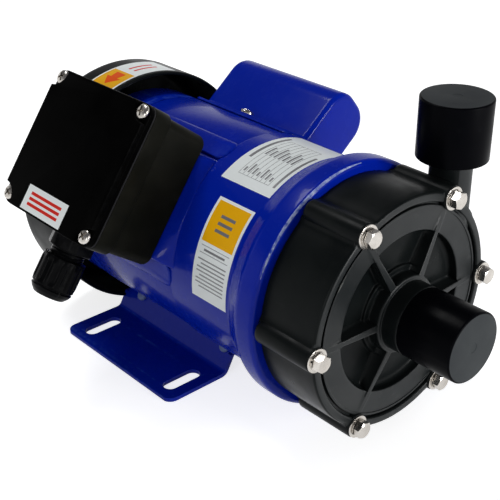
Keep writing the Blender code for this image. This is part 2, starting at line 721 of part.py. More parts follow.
def cap_mesh(name):
    """A push-on port cap: its open rim at the local origin, its closed end at +Z."""
    profile = [
        (CAP_BORE, 0.0),
        (CAP_RADIUS, 0.0),
        (CAP_RADIUS, CAP_LENGTH - CAP_ROUND),
        (CAP_RADIUS - CAP_ROUND, CAP_LENGTH),
        (0.0, CAP_LENGTH),
        (0.0, CAP_LENGTH - CAP_END),
        (CAP_BORE, CAP_LENGTH - CAP_END),
    ]
    return turned(name, profile, CAP_FACETS, axis="Z")


def make_caps(shaft_line):
    """The two transport caps, each pushed over its port."""
    suction_place = (0.0, SUCTION_SHOULDER - CLEARANCE, 0.0)
    suction_turn = (math.radians(90.0), 0.0, 0.0)
    finish_piece(cap_mesh("suction_cap"), "cap_rubber", shaft_line, suction_place, suction_turn)
    discharge_place = (DISCHARGE_OFFSET, DISCHARGE_STATION, DISCHARGE_HEIGHT + CLEARANCE)
    finish_piece(cap_mesh("discharge_cap"), "cap_rubber", shaft_line, discharge_place)


def make_casing_bolts(shaft_line):
    """Hexagon bolts with their washers, heads towards -Y, seated on the casing's bosses."""
    washer_back = -CLEARANCE
    washer_front = washer_back - WASHER_THICKNESS
    seat = washer_front - CLEARANCE
    tip = FLANGE_FRONT + BOLT_ENGAGEMENT
    for index, angle in enumerate(bolt_angles(), start=1):
        x, z = around_shaft(BOLT_CIRCLE_RADIUS, angle)
        outline = regular_polygon(BOLT_HEAD_WIDTH, turn=angle)
        bolt = prism(f"casing_bolt_{index}", outline, seat - BOLT_HEAD_HEIGHT, seat)
        fuse(bolt, rod("shank", BOLT_RADIUS, seat - 0.5 * BOLT_HEAD_HEIGHT, tip, SCREW_FACETS))
        finish_piece(bolt, "zinc", shaft_line, (x, 0.0, z))
        ring = [
            (BOLT_RADIUS + CLEARANCE, washer_front),
            (WASHER_RADIUS, washer_front),
            (WASHER_RADIUS, washer_back),
            (BOLT_RADIUS + CLEARANCE, washer_back),
        ]
        washer = turned(f"casing_washer_{index}", ring, SMALL_FACETS)
        finish_piece(washer, "zinc", shaft_line, (x, 0.0, z))


def make_rear_casing(shaft_line):
    """The sealed can between the two magnets, with the flange that closes the chamber."""
    flange_radius = SOCKET_RADIUS - CLEARANCE
    front = SOCKET_FLOOR + CLEARANCE
    groove_front = front + O_RING_LAND
    groove_back = groove_front + 2.0 * (O_RING_SECTION + CLEARANCE)
    groove_floor = flange_radius - 2.0 * O_RING_SECTION - CLEARANCE
    boss = SPINDLE_RADIUS + CLEARANCE + SPIDER_WALL
    profile = [
        (0.0, CAN_OUTER_END),
        (0.0, SPINDLE_END + CLEARANCE),
        (SPINDLE_RADIUS + CLEARANCE, SPINDLE_END + CLEARANCE),
        (SPINDLE_RADIUS + CLEARANCE, CAN_INNER_END - 0.6 * RUNNING_GAP),
        (boss, CAN_INNER_END - 0.6 * RUNNING_GAP),
        (boss, CAN_INNER_END),
        (CAN_BORE, CAN_INNER_END),
        (CAN_BORE, front),
        (flange_radius, front),
        (flange_radius, groove_front),
        (groove_floor, groove_front),
        (groove_floor, groove_back),
        (flange_radius, groove_back),
        (flange_radius, CASING_DEPTH),
        (CAN_RADIUS, CASING_DEPTH),
        (CAN_RADIUS, CAN_OUTER_END - CAN_WALL),
        (CAN_RADIUS - CAN_WALL, CAN_OUTER_END),
    ]
    rear = turned("rear_casing", profile, HIDDEN_FACETS)
    finish_piece(rear, "moulded", shaft_line)
    ring_centre = (flange_radius - O_RING_SECTION, 0.5 * (groove_front + groove_back))
    section = arc(ring_centre, O_RING_SECTION, 0.0, 360.0, 6)[:-1]
    ring = turned("casing_o_ring", section, HIDDEN_FACETS)
    finish_piece(ring, "seal_rubber", shaft_line)


def impeller_blade(index):
    """One backward-curved blade, from the eye to the rim."""
    start = math.tau * index / BLADE_COUNT
    lean = math.radians(62.0)
    steps = 5
    inner = EYE_RADIUS + 0.5 * BLADE_THICKNESS
    outer = IMPELLER_RADIUS - 0.3 * MM
    faces = ([], [])
    for step in range(steps + 1):
        share = step / steps
        radius = inner + (outer - inner) * share
        angle = start - lean * share
        half = 0.5 * BLADE_THICKNESS / radius
        faces[0].append(around_shaft(radius, angle + half))
        faces[1].append(around_shaft(radius, angle - half))
    outline = faces[0] + faces[1][::-1]
    return prism("blade", outline, BLADE_FRONT - 0.5 * SHROUD, BLADE_BACK + 0.5 * SHROUD)


def make_impeller(shaft_line):
    """The closed impeller with its magnet barrel, and the bush that it turns on."""
    eye_wall = EYE_RADIUS + SHROUD
    front_shroud = turned("front_shroud", [
        (EYE_RADIUS, BLADE_FRONT),
        (EYE_RADIUS, IMPELLER_FRONT - 0.5 * RUNNING_GAP),
        (eye_wall, IMPELLER_FRONT - 0.5 * RUNNING_GAP),
        (eye_wall, IMPELLER_FRONT),
        (IMPELLER_RADIUS, IMPELLER_FRONT + 0.4 * SHROUD),
        (IMPELLER_RADIUS, BLADE_FRONT),
    ], HIDDEN_FACETS)
    barrel_wall = DRIVEN_MAGNET_RADIUS - DRIVEN_MAGNET_WALL
    impeller = turned("impeller", [
        (HUB_BORE, IMPELLER_FRONT),
        (HUB_RADIUS, IMPELLER_FRONT),
        (HUB_RADIUS, BLADE_BACK),
        (IMPELLER_RADIUS, BLADE_BACK),
        (IMPELLER_RADIUS, IMPELLER_BACK),
        (DRIVEN_MAGNET_RADIUS, IMPELLER_BACK),
        (DRIVEN_MAGNET_RADIUS, DRIVEN_MAGNET_END),
        (barrel_wall, DRIVEN_MAGNET_END),
        (barrel_wall, IMPELLER_BACK + SHROUD),
        (HUB_RADIUS, IMPELLER_BACK + SHROUD),
        (HUB_RADIUS, DRIVEN_MAGNET_END),
        (HUB_BORE, DRIVEN_MAGNET_END),
    ], HIDDEN_FACETS)
    blades = [impeller_blade(index) for index in range(BLADE_COUNT)]
    fuse(impeller, *blades, front_shroud)
    finish_piece(impeller, "moulded", shaft_line)
    bush_front = SPIDER_BACK + CLEARANCE
    bush = turned("impeller_bush", [
        (BUSH_BORE, bush_front),
        (BUSH_RADIUS, bush_front),
        (BUSH_RADIUS, DRIVEN_MAGNET_END),
        (BUSH_BORE, DRIVEN_MAGNET_END),
    ], SMALL_FACETS)
    finish_piece(bush, "carbon", shaft_line)
    spindle_front = SPIDER_BACK - 0.6 * SPIDER_DEPTH + CLEARANCE
    spindle = rod("spindle", SPINDLE_RADIUS, spindle_front, SPINDLE_END)
    finish_piece(spindle, "ceramic", shaft_line)


def make_drive_magnet(shaft_line):
    """The steel cup with the outer magnet ring, carried by the motor shaft."""
    bore = SHAFT_END_RADIUS + CLEARANCE
    yoke = turned("drive_magnet", [
        (DRIVE_BORE, DRIVE_MOUTH),
        (DRIVE_RADIUS, DRIVE_MOUTH),
        (DRIVE_RADIUS, DRIVE_OUTER_END),
        (DRIVE_HUB_RADIUS, DRIVE_OUTER_END),
        (DRIVE_HUB_RADIUS, DRIVE_HUB_END),
        (bore, DRIVE_HUB_END),
        (bore, DRIVE_INNER_END),
        (DRIVE_BORE, DRIVE_INNER_END),
    ], HIDDEN_FACETS)
    finish_piece(yoke, "magnet", shaft_line)


def make_motor_bracket(shaft_line):
    """The enamelled bracket: head flange, magnet housing and front bearing seat in one."""
    bore = BRACKET_RADIUS - BRACKET_WALL
    seat = BEARING_RADIUS + CLEARANCE
    flange_back = FLANGE_FRONT + FLANGE_LENGTH
    shaft_hole = SHAFT_END_RADIUS + RUNNING_GAP
    rounding = arc(
        (FLANGE_RADIUS - FLANGE_ROUND, FLANGE_FRONT + FLANGE_ROUND), FLANGE_ROUND, -90.0, 0.0, 2
    )
    shoulder = arc(
        (BRACKET_RADIUS - SHOULDER, BRACKET_BACK - SHOULDER), SHOULDER, 0.0, 90.0, 1
    )
    profile = [(BRACKET_OPENING, FLANGE_FRONT)]
    profile += rounding
    profile += [
        (FLANGE_RADIUS, flange_back),
        (FLANGE_RADIUS - 0.2 * (FLANGE_RADIUS - BRACKET_RADIUS), flange_back + 0.25 * FLANGE_CONE),
        (BRACKET_RADIUS, flange_back + FLANGE_CONE),
    ]
    profile += shoulder
    profile += [
        (REGISTER_RADIUS, BRACKET_BACK),
        (REGISTER_RADIUS, BRACKET_BACK + REGISTER_LENGTH),
        (REGISTER_RADIUS - REGISTER_WALL, BRACKET_BACK + REGISTER_LENGTH),
        (REGISTER_RADIUS - REGISTER_WALL, SEAT_FRONT),
        (HOUSING_RADIUS, SEAT_FRONT),
        (HOUSING_RADIUS, HOUSING_BACK),
        (seat, HOUSING_BACK),
        (seat, SEAT_FRONT),
        (shaft_hole, SEAT_FRONT),
        (shaft_hole, REAR_WALL_FRONT),
        (bore, REAR_WALL_FRONT),
        (bore, flange_back),
        (BRACKET_OPENING, flange_back - 0.25 * FLANGE_LENGTH),
    ]
    bracket = turned("motor_bracket", profile, LARGE_FACETS)
    holes = []
    for angle in bolt_angles():
        centre = around_shaft(BOLT_CIRCLE_RADIUS, angle)
        depth = FLANGE_FRONT + BOLT_ENGAGEMENT + CLEARANCE
        holes.append(rod("hole", BOLT_RADIUS + CLEARANCE, FLANGE_FRONT - MM, depth, SCREW_FACETS, centre=centre))
    cut(bracket, *holes)
    finish_piece(bracket, "enamel", shaft_line)


def wire_hole(station):
    """A round tool for the wire passage, along the terminal box's outward line."""
    tool = rod("wire_hole", WIRE_HOLE, 0.4 * SHELL_RADIUS, 2.0 * SHELL_RADIUS, 14, axis="Z")
    moved(tool, Matrix.Translation((0.0, station, 0.0)))
    return tool


def terminal_turn():
    """Rotation that stands local Z along the terminal box's outward line."""
    return math.radians(90.0) - BOX_ANGLE


def capacitor_turn():
    """Rotation that stands local Z along the capacitor's outward line."""
    return math.radians(90.0) - CAPACITOR_ANGLE


def make_motor_shell(shaft_line):
    """The rolled steel shell that grips the stator."""
    shell = turned("motor_shell", [
        (SHELL_BORE, SHELL_FRONT),
        (SHELL_RADIUS, SHELL_FRONT),
        (SHELL_RADIUS, SHELL_BACK),
        (SHELL_BORE, SHELL_BACK),
    ], LARGE_FACETS)
    hole = wire_hole(BOX_STATION)
    moved(hole, Matrix.Rotation(terminal_turn(), 4, "Y"))
    cut(shell, hole)
    for place in capacitor_screws():
        tool = screw_tool(place, CAPACITOR_SCREW_RADIUS + CLEARANCE)
        cut(shell, moved(tool, Matrix.Rotation(capacitor_turn(), 4, "Y")))
    finish_piece(shell, "enamel", shaft_line)


def slot_tools(name, growth, low, high):
    """Radial bars through the stator's slots, grown or shrunk on every side."""
    tools = []
    half = 0.5 * SLOT_WIDTH + growth
    for index in range(SLOT_COUNT):
        outline = [
            (SLOT_INNER - growth, -half),
            (SLOT_OUTER + growth, -half),
            (SLOT_OUTER + growth, half),
            (SLOT_INNER - growth, half),
        ]
        bar = prism(name, outline, low, high)
        angle = math.tau * (index + 0.5) / SLOT_COUNT
        tools.append(moved(bar, Matrix.Rotation(-angle, 4, "Y")))
    return tools


def make_stator(shaft_line):
    """The laminated core, and the winding that runs through its closed slots."""
    core = turned("stator_core", [
        (STATOR_BORE, STATOR_FRONT),
        (STATOR_RADIUS, STATOR_FRONT),
        (STATOR_RADIUS, STATOR_BACK),
        (STATOR_BORE, STATOR_BACK),
    ], HIDDEN_FACETS)
    cut(core, *slot_tools("slot", CLEARANCE, STATOR_FRONT - MM, STATOR_BACK + MM))
    finish_piece(core, "lamination", shaft_line)
    inner = SLOT_INNER - 0.8 * MM
    outer = SLOT_OUTER + WINDING_SPREAD
    ends = []
    for near, far in (
        (STATOR_FRONT - CLEARANCE, STATOR_FRONT - CLEARANCE - WINDING_OVERHANG),
        (STATOR_BACK + CLEARANCE, STATOR_BACK + CLEARANCE + WINDING_OVERHANG),
    ):
        bulge = near + 0.75 * (far - near)
        section = [(inner, near), (outer, near), (outer, bulge), (outer - 4.0 * MM, far), (inner, far)]
        ends.append(turned("stator_winding", section, HIDDEN_FACETS))
    winding, rear_end = ends
    low = STATOR_FRONT - 0.5 * WINDING_OVERHANG
    high = STATOR_BACK + 0.5 * WINDING_OVERHANG
    fuse(winding, *slot_tools("bar", 0.0, low, high), rear_end)
    winding.name = "stator_winding"
    finish_piece(winding, "copper", shaft_line)


def make_rotor(shaft_line):
    """The squirrel-cage rotor and the stepped shaft that carries it."""
    front = STATOR_FRONT - ROTOR_OVERHANG
    back = STATOR_BACK + ROTOR_OVERHANG
    rotor = turned("rotor", [
        (SHAFT_RADIUS + CLEARANCE, front),
        (ROTOR_RADIUS - 2.0 * MM, front),
        (ROTOR_RADIUS, STATOR_FRONT),
        (ROTOR_RADIUS, STATOR_BACK),
        (ROTOR_RADIUS - 2.0 * MM, back),
        (SHAFT_RADIUS + CLEARANCE, back),
    ], CAP_FACETS)
    finish_piece(rotor, "lamination", shaft_line)
    tip = 0.8 * MM
    front_journal = SEAT_FRONT + CLEARANCE
    front_shoulder = front_journal + BEARING_WIDTH + CLEARANCE
    rear_shoulder = REAR_SEAT_FRONT - CLEARANCE
    profile = [
        (0.0, DRIVE_INNER_END + RUNNING_GAP),
        (SHAFT_END_RADIUS - tip, DRIVE_INNER_END + RUNNING_GAP),
        (SHAFT_END_RADIUS, DRIVE_INNER_END + RUNNING_GAP + tip),
        (SHAFT_END_RADIUS, front_journal),
        (BEARING_BORE, front_journal),
        (BEARING_BORE, front_shoulder),
        (SHAFT_RADIUS, front_shoulder),
        (SHAFT_RADIUS, rear_shoulder),
        (BEARING_BORE, rear_shoulder),
        (BEARING_BORE, END_SHIELD_BACK),
        (SHAFT_END_RADIUS, END_SHIELD_BACK),
        (SHAFT_END_RADIUS, FAN_END + MM - tip),
        (SHAFT_END_RADIUS - tip, FAN_END + MM),
        (0.0, FAN_END + MM),
    ]
    finish_piece(turned("motor_shaft", profile, SMALL_FACETS), "steel", shaft_line)


def bearing_mesh(name):
    """A shielded ball bearing, centred on its front face, with its races and recessed shields."""
    bore = BEARING_BORE + CLEARANCE
    inner_race = bore + BEARING_LAND
    outer_race = BEARING_RADIUS - BEARING_LAND
    return turned(name, [
        (bore, 0.0),
        (inner_race, 0.0),
        (inner_race, BEARING_SHIELD),
        (outer_race, BEARING_SHIELD),
        (outer_race, 0.0),
        (BEARING_RADIUS, 0.0),
        (BEARING_RADIUS, BEARING_WIDTH),
        (outer_race, BEARING_WIDTH),
        (outer_race, BEARING_WIDTH - BEARING_SHIELD),
        (inner_race, BEARING_WIDTH - BEARING_SHIELD),
        (inner_race, BEARING_WIDTH),
        (bore, BEARING_WIDTH),
    ], SMALL_FACETS)


def make_bearings(shaft_line):
    """The two shaft bearings in their seats."""
    front = (0.0, SEAT_FRONT + CLEARANCE, 0.0)
    rear = (0.0, REAR_SEAT_FRONT, 0.0)
    finish_piece(bearing_mesh("front_bearing"), "steel", shaft_line, front)
    finish_piece(bearing_mesh("rear_bearing"), "steel", shaft_line, rear)


def cover_lug(angle):
    """An arm of the end shield with the pad that the fan cover is screwed to."""
    half = 0.5 * LUG_WIDTH
    root = SHELL_RADIUS - 3.0 * LUG_ARM
    front = END_SHIELD_FRONT + 0.15 * END_SHIELD
    back = END_SHIELD_BACK - 0.15 * END_SHIELD
    rise = COVER_FRONT - CLEARANCE
    outline = [
        (root, front),
        (LUG_ARM_OUTER, front),
        (LUG_ARM_OUTER, rise),
        (LUG_RADIUS + MM, rise),
        (LUG_RADIUS + MM, LUG_BACK),
        (LUG_ARM_INNER, LUG_BACK),
        (LUG_ARM_INNER, back),
        (root, back),
    ]
    lug = prism("lug", outline, -half, half, axis="Z")
    return moved(lug, Matrix.Rotation(-angle, 4, "Y"))


def make_end_shield(shaft_line):
    """The rear end shield with its bearing seat, register and three lugs."""
    seat = BEARING_RADIUS + CLEARANCE
    shaft_hole = BEARING_BORE + RUNNING_GAP
    register_front = SHELL_BACK - REGISTER_LENGTH
    shield = turned("rear_end_shield", [
        (shaft_hole, END_SHIELD_BACK),
        (SHELL_RADIUS, END_SHIELD_BACK),
        (SHELL_RADIUS, END_SHIELD_FRONT),
        (REGISTER_RADIUS, END_SHIELD_FRONT),
        (REGISTER_RADIUS, register_front),
        (REGISTER_RADIUS - REGISTER_WALL, register_front),
        (REGISTER_RADIUS - REGISTER_WALL, END_SHIELD_FRONT),
        (HOUSING_RADIUS, END_SHIELD_FRONT),
        (HOUSING_RADIUS, REAR_SEAT_FRONT),
        (seat, REAR_SEAT_FRONT),
        (seat, REAR_SEAT_BACK),
        (shaft_hole, REAR_SEAT_BACK),
    ], 32)
    clip = rod("clip", LUG_RADIUS, REAR_SEAT_FRONT - 5.0 * MM, LUG_BACK + MM, LARGE_FACETS)
    lugs = [cover_lug(angle) for angle in LUG_ANGLES]
    fuse(shield, *lugs)
    keep(shield, clip)
    cut(shield, *cover_screw_holes(COVER_SCREW_RADIUS + CLEARANCE, LUG_RADIUS - COVER_SCREW_LENGTH))
    finish_piece(shield, "aluminium", shaft_line)


def cover_screw_station():
    """Where along the shaft the fan cover's screws sit."""
    return COVER_FRONT + 0.5 * LUG_REACH


def cover_screw_holes(radius, low):
    """Radial hole tools for the fan cover's screws, starting at this distance from the shaft."""
    tools = []
    for angle in LUG_ANGLES:
        tool = rod("screw_hole", radius, low, COVER_RADIUS + MM, SCREW_FACETS, axis="Z")
        place = Matrix.Translation((0.0, cover_screw_station(), 0.0))
        turn = Matrix.Rotation(math.radians(90.0) - angle, 4, "Y")
        tools.append(moved(tool, place @ turn))
    return tools


def make_fan(shaft_line):
    """The cooling fan: a hub, a back plate and straight blades."""
    bore = SHAFT_END_RADIUS + CLEARANCE
    plate_back = FAN_FRONT + FAN_PLATE
    hub_back = plate_back + 0.7 * FAN_WIDTH
    fan = turned("fan", [
        (bore, FAN_FRONT),
        (FAN_BACK, FAN_FRONT),
        (FAN_BACK, plate_back),
        (FAN_HUB, plate_back),
        (FAN_HUB, hub_back),
        (bore, hub_back),
    ], 24)
    blades = []
    half = 0.5 * FAN_BLADE
    for index in range(FAN_BLADES):
        inner = 0.5 * (bore + FAN_HUB)
        outline = [
            (inner, FAN_FRONT + 0.5 * FAN_PLATE),
            (FAN_RADIUS, FAN_FRONT + 0.5 * FAN_PLATE),
            (FAN_RADIUS, FAN_END - 0.3 * FAN_WIDTH),
            (0.8 * FAN_RADIUS, FAN_END),
            (inner, hub_back - MM),
        ]
        blade = prism("blade", outline, -half, half, axis="Z")
        blades.append(moved(blade, Matrix.Rotation(math.tau * index / FAN_BLADES, 4, "Y")))
    fuse(fan, *blades)
    finish_piece(fan, "moulded", shaft_line)


def grille_slots():
    """Arc-shaped slots in rings, parted by the grille's spokes."""
    tools = []
    steps = 3
    low = COVER_BACK - 2.0 * COVER_WALL
    high = COVER_BACK + COVER_WALL
    for ring in range(GRILLE_RINGS):
        inner = GRILLE_CENTRE + ring * (GRILLE_SLOT + GRILLE_BAR)
        outer = inner + GRILLE_SLOT
        for spoke in range(GRILLE_SPOKES):
            start = math.degrees(math.tau * spoke / GRILLE_SPOKES)
            margin = math.degrees(0.5 * GRILLE_SPOKE / inner)
            end = start + 360.0 / GRILLE_SPOKES - margin
            outline = arc((0.0, 0.0), inner, start + margin, end, steps)
            outline += arc((0.0, 0.0), outer, end, start + margin, steps)
            tools.append(prism("slot", outline, low, high))
    return tools


def make_fan_cover(shaft_line):
    """The drum-shaped fan cover with its rear air grille and its screws."""
    corner = (COVER_RADIUS - COVER_ROUND, COVER_BACK - COVER_ROUND)
    profile = [(COVER_BORE, COVER_FRONT), (COVER_RADIUS, COVER_FRONT)]
    profile += arc(corner, COVER_ROUND, 0.0, 90.0, 3)
    profile += [(0.0, COVER_BACK), (0.0, COVER_BACK - COVER_WALL)]
    profile += arc(corner, COVER_ROUND - COVER_WALL, 90.0, 0.0, 2)
    cover = turned("fan_cover", profile, LARGE_FACETS)
    cut(cover, *grille_slots())
    cut(cover, *cover_screw_holes(COVER_SCREW_RADIUS + CLEARANCE, 0.8 * COVER_BORE))
    finish_piece(cover, "moulded", shaft_line)
    for index, angle in enumerate(LUG_ANGLES, start=1):
        tip = LUG_RADIUS - COVER_SCREW_LENGTH + CLEARANCE
        seat = COVER_RADIUS + CLEARANCE
        screw = turned(f"fan_cover_screw_{index}", pan_head_profile(
            COVER_SCREW_RADIUS, COVER_SCREW_HEAD, 1.8 * MM, tip, seat
        ), SCREW_FACETS, axis="Z")
        turn = (0.0, math.radians(90.0) - angle, 0.0)
        finish_piece(screw, "zinc", shaft_line, (0.0, cover_screw_station(), 0.0), turn)


def pan_head_profile(shank, head, rise, tip, seat):
    """Profile of a pan-head screw along +Z, from its tip to the crown of its head."""
    return [
        (0.0, tip),
        (shank, tip),
        (shank, seat),
        (head, seat),
        (head, seat + 0.5 * rise),
        (0.6 * head, seat + rise),
        (0.0, seat + rise),
    ]


def make_saddle(box_line):
    """The curved sheet saddle on the shell, and the rubber pad that levels it."""
    front = SHELL_FRONT + SADDLE_FRONT
    middle = (0.0, front + 0.5 * SADDLE_LENGTH)
    ring = turned("terminal_saddle", [
        (SHELL_RADIUS + CLEARANCE, front - MM),
        (SADDLE_RADIUS, front - MM),
        (SADDLE_RADIUS, front + SADDLE_LENGTH + MM),
        (SHELL_RADIUS + CLEARANCE, front + SADDLE_LENGTH + MM),
    ], 60)
    outline = rounded_rectangle(SADDLE_WIDTH, SADDLE_LENGTH, SADDLE_ROUND, 4, middle)
    trim = prism("trim", outline, 0.2 * SHELL_RADIUS, 1.5 * SHELL_RADIUS, axis="Z")
    keep(ring, trim)
    cut(ring, wire_hole(BOX_STATION))
    finish_piece(ring, "enamel", box_line)

    pad_width = BOX_WIDTH - 2.0 * PAD_INSET
    pad_front = BOX_STATION - 0.5 * BOX_LENGTH + PAD_INSET
    pad_back = BOX_STATION + 0.5 * BOX_LENGTH - PAD_INSET
    pad_middle = (0.0, 0.5 * (pad_front + pad_back))
    pad_outline = rounded_rectangle(pad_width, pad_back - pad_front, BOX_ROUND, 3, pad_middle)
    pad = prism("terminal_box_pad", pad_outline, 0.3 * SHELL_RADIUS, PAD_TOP, axis="Z")
    bore = SADDLE_RADIUS + CLEARANCE
    hollow = rod("hollow", bore, pad_front - 10.0 * MM, pad_back + 10.0 * MM, 60)
    cut(pad, hollow, wire_hole(BOX_STATION))
    finish_piece(pad, "seal_rubber", box_line)


def screw_places():
    """Centres of the lid screws in the box's own plane."""
    places = []
    for y_side in (-1.0, 1.0):
        for x_side in (-1.0, 1.0):
            places.append((x_side * LID_SCREW_X, BOX_STATION + y_side * LID_SCREW_Y))
    return places


def box_cavity():
    """Outline of the box's inside, stepped round the solid corners that take the lid screws."""
    wall = BOX_RIM + BOX_WALL
    long_x = 0.5 * BOX_WIDTH - wall
    long_y = 0.5 * BOX_LENGTH - wall
    short_x = 0.5 * BOX_WIDTH - LID_CORNER
    short_y = 0.5 * BOX_LENGTH - LID_CORNER
    outline = []
    for x_side, y_side in ((1, 1), (-1, 1), (-1, -1), (1, -1)):
        step = [(long_x, short_y), (short_x, short_y), (short_x, long_y)]
        if x_side * y_side < 0:
            step.reverse()
        outline += [(x_side * x, BOX_STATION + y_side * y) for x, y in step]
    return outline


def make_terminal_box(box_line):
    """The open-fronted terminal box with its screw corners and cable entry."""
    middle = (0.0, BOX_STATION)
    width = BOX_WIDTH - 2.0 * BOX_RIM
    length = BOX_LENGTH - 2.0 * BOX_RIM
    body_outline = rounded_rectangle(width, length, BOX_ROUND, 4, middle)
    rim_outline = rounded_rectangle(BOX_WIDTH, BOX_LENGTH, BOX_ROUND, 4, middle)
    rim_front = BOX_TOP - BOX_RIM_DEPTH
    box = prism("terminal_box_base", body_outline, BOX_BACK, BOX_TOP - MM, axis="Z")
    fuse(box, prism("rim", rim_outline, rim_front, BOX_TOP, axis="Z"))
    cut(box, prism("hollow", box_cavity(), BOX_BACK + BOX_FLOOR, BOX_TOP + MM, axis="Z"))
    tip = BOX_TOP - LID_SCREW_LENGTH
    bore = LID_SCREW_RADIUS + CLEARANCE
    holes = [rod("hole", bore, tip, BOX_TOP + MM, SCREW_FACETS, "Z", place) for place in screw_places()]
    entry = rod("entry", GLAND_THREAD + CLEARANCE, 0.3 * BOX_WIDTH, 0.6 * BOX_WIDTH, 20, axis="Z")
    moved(entry, gland_matrix())
    cut(box, wire_hole(BOX_STATION), entry, *holes)
    finish_piece(box, "box_plastic", box_line)


def gland_matrix():
    """Frame of the cable gland inside the box's frame: local Z points downhill, out of the wall."""
    height = BOX_BACK + 0.5 * BOX_DEPTH
    place = Matrix.Translation((0.0, BOX_STATION + GLAND_SHIFT, height))
    return place @ Matrix.Rotation(math.radians(-90.0), 4, "Y")


def make_lid(box_line):
    """The lid with its raised panel, its gasket and its four screws."""
    middle = (0.0, BOX_STATION)
    outline = rounded_rectangle(BOX_WIDTH, BOX_LENGTH, BOX_ROUND, 4, middle)
    lid = prism("terminal_box_lid", outline, LID_BACK, LID_EAR, axis="Z")
    panel = prism("panel", notched_panel(), LID_BACK + 0.5 * LID_PLATE, LID_EAR + LID_PANEL, axis="Z")
    fuse(lid, panel)
    gasket = prism("lid_gasket", outline, BOX_TOP + CLEARANCE, BOX_TOP + CLEARANCE + LID_GASKET, axis="Z")
    window = prism("window", box_cavity(), BOX_TOP - MM, BOX_TOP + 4.0 * MM, axis="Z")
    cut(gasket, window)
    for index, place in enumerate(screw_places(), start=1):
        hole = rod("hole", LID_SCREW_RADIUS + CLEARANCE, BOX_TOP - MM, LID_EAR + 5.0 * MM, SCREW_FACETS, "Z", place)
        cut(lid, hole)
        bite = rod("bite", LID_SCREW_RADIUS + CLEARANCE, BOX_TOP - MM, LID_EAR, SCREW_FACETS, "Z", place)
        cut(gasket, bite)
        tip = BOX_TOP - LID_SCREW_LENGTH + CLEARANCE
        profile = pan_head_profile(
            LID_SCREW_RADIUS, LID_SCREW_HEAD, LID_SCREW_RISE, tip, LID_EAR + CLEARANCE
        )
        screw = turned(f"lid_screw_{index}", profile, SCREW_FACETS, axis="Z")
        finish_piece(screw, "zinc", box_line, (place[0], place[1], 0.0))
    finish_piece(lid, "box_plastic", box_line)
    finish_piece(gasket, "seal_rubber", box_line)


def notched_panel():
    """Outline of the lid's raised panel, with a round notch at each screw."""
    half_x = 0.5 * BOX_WIDTH - LID_PANEL_STEP
    half_y = 0.5 * BOX_LENGTH - LID_PANEL_STEP
    notch = LID_NOTCH
    outline = []
    for x_side, y_side, start in ((1, 1, 0.0), (-1, 1, 90.0), (-1, -1, 180.0), (1, -1, 270.0)):
        corner = (x_side * half_x, BOX_STATION + y_side * half_y)
        outline += arc(corner, notch, start + 270.0, start + 180.0, 4)
    return outline


def make_terminal_block(box_line):
    """The terminal block on the box's floor, with a barrier between its terminals."""
    floor = BOX_BACK + BOX_FLOOR + CLEARANCE
    x = 0.25 * BOX_WIDTH
    centre = (x, BOX_STATION)
    outline = rounded_rectangle(BLOCK_WIDTH, BLOCK_LENGTH, MM, 1, centre)
    block = prism("terminal_block", outline, floor, floor + BLOCK_HEIGHT, axis="Z")
    pitch = BLOCK_LENGTH / BLOCK_TERMINALS
    bays = []
    for index in range(BLOCK_TERMINALS):
        y = BOX_STATION + (index - 0.5 * (BLOCK_TERMINALS - 1)) * pitch
        bay = rounded_rectangle(BLOCK_WIDTH + 2.0 * MM, 0.7 * pitch, 0.1 * MM, 1, (x, y))
        bays.append(prism("bay", bay, floor + 0.55 * BLOCK_HEIGHT, floor + BLOCK_HEIGHT + MM, axis="Z"))
    cut(block, *bays)
    finish_piece(block, "block", box_line)


